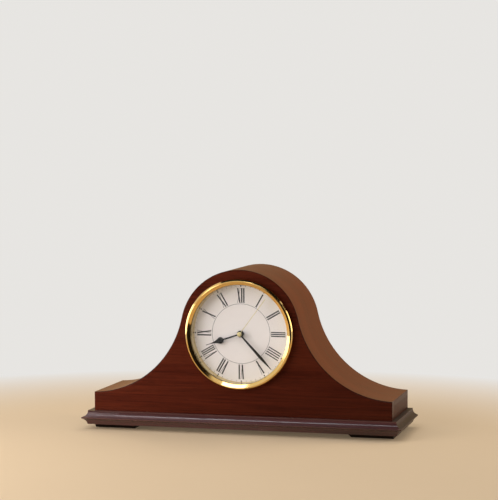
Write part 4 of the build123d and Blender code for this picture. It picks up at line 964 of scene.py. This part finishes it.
rearMarks = {
    "rise": 0.12 * mm,
    "dotSides": 16,
    "volumeReach": 8.3 * mm,     # dots round the volume knob, growing with it
    "volumeDots": 10,
    "volumeSweep": 270,
    "dotSmall": 0.30 * mm,
    "dotLarge": 0.80 * mm,
    "arrowReach": 9.0 * mm,      # arrow round the setting knob
    "arrowWidth": 0.7 * mm,
    "arrowFrom": -55,
    "arrowSweep": 95,
    "arrowSteps": 20,
    "arrowHead": 2.2 * mm,
    "arrowPoint": 3.3 * mm,      # length of the head along the arrow
    "switchDrop": 4.2 * mm,      # one, two and three dots under the switch's places
    "switchStep": 3.0 * mm,
    "switchDot": 0.45 * mm,
    "switchPitch": 1.3 * mm,
}
rearMarkPaint = plasticMaterial(
    "rearMarkPaint", (0.55, 0.55, 0.53), (0.45, 0.60), textureScale=3000.0, textureBump=0.05,
)


def shellPlace(node):
    # the point of the rear shell behind the middle of a knob or a lever
    low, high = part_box(node)
    return Vector(((low.x + high.x) / 2, shellBack, (low.z + high.z) / 2))


def aroundFromBehind(centre, degrees, radius):
    # degrees run anticlockwise from the top, seen from behind
    turn = math.radians(degrees)
    return centre + radius * Vector((math.sin(turn), 0, math.cos(turn)))


def drawVolumeDots(mesh):
    look = rearMarks
    centre = shellPlace("volume_knob")
    for step in range(look["volumeDots"]):
        share = step / (look["volumeDots"] - 1)
        radius = look["dotSmall"] + share * (look["dotLarge"] - look["dotSmall"])
        place = aroundFromBehind(centre, -share * look["volumeSweep"], look["volumeReach"])
        inkDot(mesh, place, radius, look["dotSides"])


def drawSettingArrow(mesh):
    look = rearMarks
    centre = shellPlace("setting_knob")
    half = look["arrowWidth"] / 2
    radii = (look["arrowReach"] - half, look["arrowReach"] + half)
    start = [aroundFromBehind(centre, look["arrowFrom"], radius) for radius in radii]
    spinLine(mesh, start, centre, look["arrowSweep"], look["arrowSteps"])
    headFrom = look["arrowFrom"] + look["arrowSweep"]
    headTo = headFrom + math.degrees(look["arrowPoint"] / look["arrowReach"])
    inkFace(mesh, [
        aroundFromBehind(centre, headFrom, look["arrowReach"] - look["arrowHead"] / 2),
        aroundFromBehind(centre, headFrom, look["arrowReach"] + look["arrowHead"] / 2),
        aroundFromBehind(centre, headTo, look["arrowReach"]),
    ])


def drawSwitchDots(mesh):
    look = rearMarks
    centre = shellPlace("chime_switch")
    for count in (1, 2, 3):
        across = (count - 2) * look["switchStep"]
        for row in range(count):
            down = look["switchDrop"] + row * look["switchPitch"]
            inkDot(mesh, centre + Vector((across, 0, -down)), look["switchDot"], look["dotSides"])


def makeRearMarks():
    mesh = bmesh.new()
    drawVolumeDots(mesh)
    drawSettingArrow(mesh)
    drawSwitchDots(mesh)
    finishPrint(mesh, "rearMarks", rearMarks["rise"], rearMarkPaint)


makeRearMarks()
print("rear marks printed")


# Screws in the hinge leaves

hingeScrew = {
    "radius": 1.7 * mm,
    "rise": 0.6 * mm,
    "profile": [(1.0, 0.0), (0.9, 0.55), (0.55, 0.9), (0.0, 1.0)],   # shares of radius and rise
    "steps": 20,
    "mergeGap": 0.001 * mm,
    "sink": 0.1 * mm,
    "slotWidth": 0.5 * mm,
    "slotDepth": 0.35 * mm,
    "slotFacing": 0.2,          # faces that look outwards by more than this are sunk
    "slotTurns": {-1: -15, 1: 85},   # degrees, of the lower and the upper screw
    "leafHeight": 24.0 * mm,
    "leafThickness": 0.8 * mm,
    "spacing": 13.0 * mm,
    "edgeGap": 4.2 * mm,        # from the outer edge of the leaf
}


def makeScrewHead():
    # domed head turned about the depth, with a slot sunk across it
    look = hingeScrew
    mesh = bmesh.new()
    profile = [(share * look["radius"], rise * look["rise"], 0) for share, rise in look["profile"]]
    spinLine(mesh, profile, (0, 0, 0), 360, look["steps"])
    bmesh.ops.remove_doubles(mesh, verts=mesh.verts, dist=look["mergeGap"])
    bmesh.ops.holes_fill(mesh, edges=[edge for edge in mesh.edges if edge.is_boundary])
    bmesh.ops.recalc_face_normals(mesh, faces=mesh.faces)
    half = look["slotWidth"] / 2
    for side in (-1, 1):
        whole = list(mesh.verts) + list(mesh.edges) + list(mesh.faces)
        bmesh.ops.bisect_plane(mesh, geom=whole, plane_co=(side * half, 0, 0), plane_no=(1, 0, 0))
    slot = [
        face for face in mesh.faces
        if abs(face.calc_center_median().x) < half and face.normal.y > look["slotFacing"]
    ]
    sunk = bmesh.ops.extrude_face_region(mesh, geom=slot)
    bmesh.ops.delete(mesh, geom=[face for face in slot if face.is_valid], context="FACES_ONLY")
    moved = [item for item in sunk["geom"] if isinstance(item, bmesh.types.BMVert)]
    bmesh.ops.translate(mesh, vec=(0, -look["slotDepth"], 0), verts=moved)
    bmesh.ops.recalc_face_normals(mesh, faces=mesh.faces)
    data = bpy.data.meshes.new("hingeScrewHead")
    mesh.to_mesh(data)
    mesh.free()
    return data


def makeHingeScrews(name, node, outerSide, body, head):
    # two screws in each of the two leaves of a node
    look = hingeScrew
    low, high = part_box(node)
    faceY = low.y + look["leafThickness"] - look["sink"]
    x = low.x + look["edgeGap"] if outerSide < 0 else high.x - look["edgeGap"]
    mesh = bmesh.new()
    for middle in (low.z + look["leafHeight"] / 2, high.z - look["leafHeight"] / 2):
        for side, degrees in look["slotTurns"].items():
            before = len(mesh.verts)
            mesh.from_mesh(head)
            mesh.verts.ensure_lookup_table()
            added = mesh.verts[before:]
            turn = Matrix.Rotation(math.radians(degrees), 3, "Y")
            place = (x, faceY, middle + side * look["spacing"] / 2)
            bmesh.ops.rotate(mesh, cent=(0, 0, 0), matrix=turn, verts=added)
            bmesh.ops.translate(mesh, vec=place, verts=added)
    piece = meshObject(mesh, name, finishes["screw_brass"])
    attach(piece, body)


screwHead = makeScrewHead()
makeHingeScrews("frameHingeScrews", "frame_hinge_leaves", -1, "case", screwHead)
makeHingeScrews("doorHingeScrews", "door_hinge_leaves", 1, "back_door", screwHead)
print("hinge screws in")


# Floor, light and camera

stageLook = {
    "floorHalf": 6.0,
    "floorTint": (0.78, 0.59, 0.385),
    "floorShade": 0.97,
    "floorCloud": {"scale": 7.0, "detail": 3.0, "roughness": 0.5},
    "floorRough": 0.8,
    "floorSpecular": 0.1,
    "wallTint": (0.80, 0.785, 0.76),
    "fadeCentre": (0.0, -0.25, 0.0),
    "fade": (0.45, 0.85),     # metres between which the floor turns into the wall
    "shadowLift": 0.13,       # how far the floor's shadow is opened
    "skyTint": (0.98, 0.99, 1.0),
    "skyStrength": 0.36,
}


def roomSeen(tree):
    # one for rays that show the room itself: to the eye, in a reflection or through the crystal
    path = addNode(tree, "ShaderNodeLightPath").outputs
    mirrored = calc(tree, "MAXIMUM", path["Is Camera Ray"], path["Is Glossy Ray"])
    return calc(tree, "MAXIMUM", mirrored, path["Is Transmission Ray"])


def floorMaterial():
    look = stageLook
    material, tree, shader = newMaterial("paleFloor")
    place = objectPlace(tree)
    cloud = noise(tree, place, **look["floorCloud"])
    tint = colour(*look["floorTint"])
    shade = colour(*[look["floorShade"] * channel for channel in look["floorTint"]])
    feed(tree, shader["Base Color"], blendColour(tree, cloud, shade, tint))
    shader["Roughness"].default_value = look["floorRough"]
    shader["Specular IOR Level"].default_value = look["floorSpecular"]
    away = addNode(tree, "ShaderNodeVectorMath", operation="DISTANCE")
    feed(tree, away.inputs[0], place)
    feed(tree, away.inputs[1], look["fadeCentre"])
    far = remap(tree, away.outputs["Value"], *look["fade"])
    glow = addNode(tree, "ShaderNodeEmission")
    feed(tree, glow.inputs["Color"], blendColour(tree, far, tint, colour(*look["wallTint"])))
    share = remap(tree, far, 0.0, 1.0, look["shadowLift"], 1.0)
    shown = calc(tree, "MULTIPLY", share, roomSeen(tree))
    mixSurface(tree, shown, tree.nodes["Principled BSDF"].outputs[0], glow.outputs[0])
    return material


def makeFloor():
    mesh = bmesh.new()
    bmesh.ops.create_grid(mesh, x_segments=1, y_segments=1, size=stageLook["floorHalf"])
    floor = meshObject(mesh, "floor", floorMaterial())


def makeWorld():
    world = bpy.data.worlds.new("studio")
    stage.world = world
    world.use_nodes = True
    tree = world.node_tree
    sky = tree.nodes["Background"]
    sky.inputs["Color"].default_value = colour(*stageLook["skyTint"])
    sky.inputs["Strength"].default_value = stageLook["skyStrength"]
    wall = addNode(tree, "ShaderNodeBackground")
    wall.inputs["Color"].default_value = colour(*stageLook["wallTint"])
    mixSurface(tree, roomSeen(tree), sky.outputs[0], wall.outputs[0], "World Output")


lampAim = Vector((0, 0, 0.1))
lampLook = {
    "leftPanel": {
        "place": (-0.85, -0.95, 0.55), "size": (0.6, 0.9), "power": 6.2, "tint": (1.0, 0.96, 0.95),
    },
    "lowLeft": {
        "place": (-0.65, -0.45, 0.22), "size": (0.4, 0.3), "power": 1.2, "tint": (1.0, 0.95, 0.88),
    },
    "rightPanel": {
        "place": (1.6, 0.35, 0.60), "size": (0.7, 1.0), "power": 7.0, "tint": (1.0, 0.91, 0.78),
    },
    "upFront": {
        "place": (-0.45, -0.80, 1.70), "size": (1.2, 0.4), "power": 6.4, "tint": (0.88, 0.92, 1.0),
    },
    "rearFill": {
        "place": (-0.15, 1.90, 0.12), "size": (1.0, 0.24), "power": 7.0, "tint": (1.0, 0.96, 0.90),
        "mirrored": False,    # it stands behind the far cards
    },
    "topBack": {
        "place": (0.3, 0.90, 1.60), "size": (1.4, 0.7), "power": 7.0, "tint": (1.0, 0.91, 0.76),
    },
}


def makeLamp(name, look):
    data = bpy.data.lights.new(name, "AREA")
    data.shape = "RECTANGLE"
    data.size, data.size_y = look["size"]
    data.energy = look["power"]
    data.color = look["tint"]
    lamp = bpy.data.objects.new(name, data)
    stage.collection.objects.link(lamp)
    lamp.location = look["place"]
    lamp.visible_glossy = look.get("mirrored", True)
    lamp.rotation_euler = (lampAim - lamp.location).to_track_quat("-Z", "Y").to_euler()


dark = (0.012, 0.010, 0.009)
tan = (0.38, 0.28, 0.135)
paleTan = (0.60, 0.46, 0.23)
white = (4.0, 3.9, 3.8)
cardTurns = {"down": (0, 0), "front": (90, 0), "side": (90, 90)}   # degrees about X, then about Z
cardLook = {
    "roomSide": {"place": (0.28, -0.32, 0.20), "size": (1.24, 0.46), "faces": "front", "glow": dark},
    "highRight": {"place": (0.55, -0.32, 0.72), "size": (0.80, 0.56), "faces": "front", "glow": dark},
    "overhead": {"place": (0.45, 0.20, 1.05), "size": (1.10, 1.50), "faces": "down", "glow": dark},
    "aboveRim": {"place": (-0.025, -0.045, 0.30), "size": (0.14, 0.16), "faces": "down", "glow": dark},
    "overheadRight": {"place": (1.55, 0.30, 0.92), "size": (1.10, 0.90), "faces": "down", "glow": dark},
    "farLeft": {"place": (-1.20, 1.1, 0.50), "size": (1.60, 1.10), "faces": "front", "glow": paleTan},
    "farRight": {"place": (0.80, 1.1, 0.50), "size": (2.40, 1.10), "faces": "front", "glow": tan},
    "leftGlow": {"place": (-1.2, 0.30, 0.25), "size": (1.10, 0.60), "faces": "side", "glow": white},
}


def makeCard(name, look):
    # card seen only in reflections, as a side of the room
    mesh = bmesh.new()
    bmesh.ops.create_grid(mesh, x_segments=1, y_segments=1, size=0.5)
    bmesh.ops.scale(mesh, vec=(*look["size"], 1), verts=mesh.verts)
    for degrees, axis in zip(cardTurns[look["faces"]], "XZ"):
        turn = Matrix.Rotation(math.radians(degrees), 3, axis)
        bmesh.ops.rotate(mesh, cent=(0, 0, 0), matrix=turn, verts=mesh.verts)
    bmesh.ops.translate(mesh, vec=look["place"], verts=mesh.verts)
    material, tree, shader = newMaterial(name)
    shader["Base Color"].default_value = colour(0.0, 0.0, 0.0)
    shader["Specular IOR Level"].default_value = 0.0
    shader["Emission Color"].default_value = colour(*look["glow"])
    shader["Emission Strength"].default_value = 1.0
    card = meshObject(mesh, name, material)
    card.visible_camera = False
    card.visible_diffuse = False
    card.visible_transmission = False
    card.visible_shadow = False


cameraLook = {
    "place": (0.60601, -2.19665, 0.38451),
    "turn": 15.42,    # degrees to the right of the clock's own front
    "tilt": 3.59,     # degrees down
    "roll": -0.33,
    "focalPixels": 1698.05,
    "imageWidth": 498,
    "sensor": 36.0,
}


def makeCamera():
    look = cameraLook
    data = bpy.data.cameras.new("camera")
    data.sensor_fit = "HORIZONTAL"
    data.sensor_width = look["sensor"]
    data.lens = look["sensor"] * look["focalPixels"] / look["imageWidth"]
    camera = bpy.data.objects.new("camera", data)
    stage.collection.objects.link(camera)
    turn = Matrix.Rotation(math.radians(look["turn"]), 4, "Z")
    tilt = Matrix.Rotation(math.radians(90 - look["tilt"]), 4, "X")
    roll = Matrix.Rotation(math.radians(look["roll"]), 4, "Z")
    camera.matrix_world = Matrix.Translation(look["place"]) @ turn @ tilt @ roll
    stage.camera = camera


makeFloor()
makeWorld()
for cardName, cardValues in cardLook.items():
    makeCard(cardName, cardValues)
for lampName, lampValues in lampLook.items():
    makeLamp(lampName, lampValues)
makeCamera()
print("stage ready")
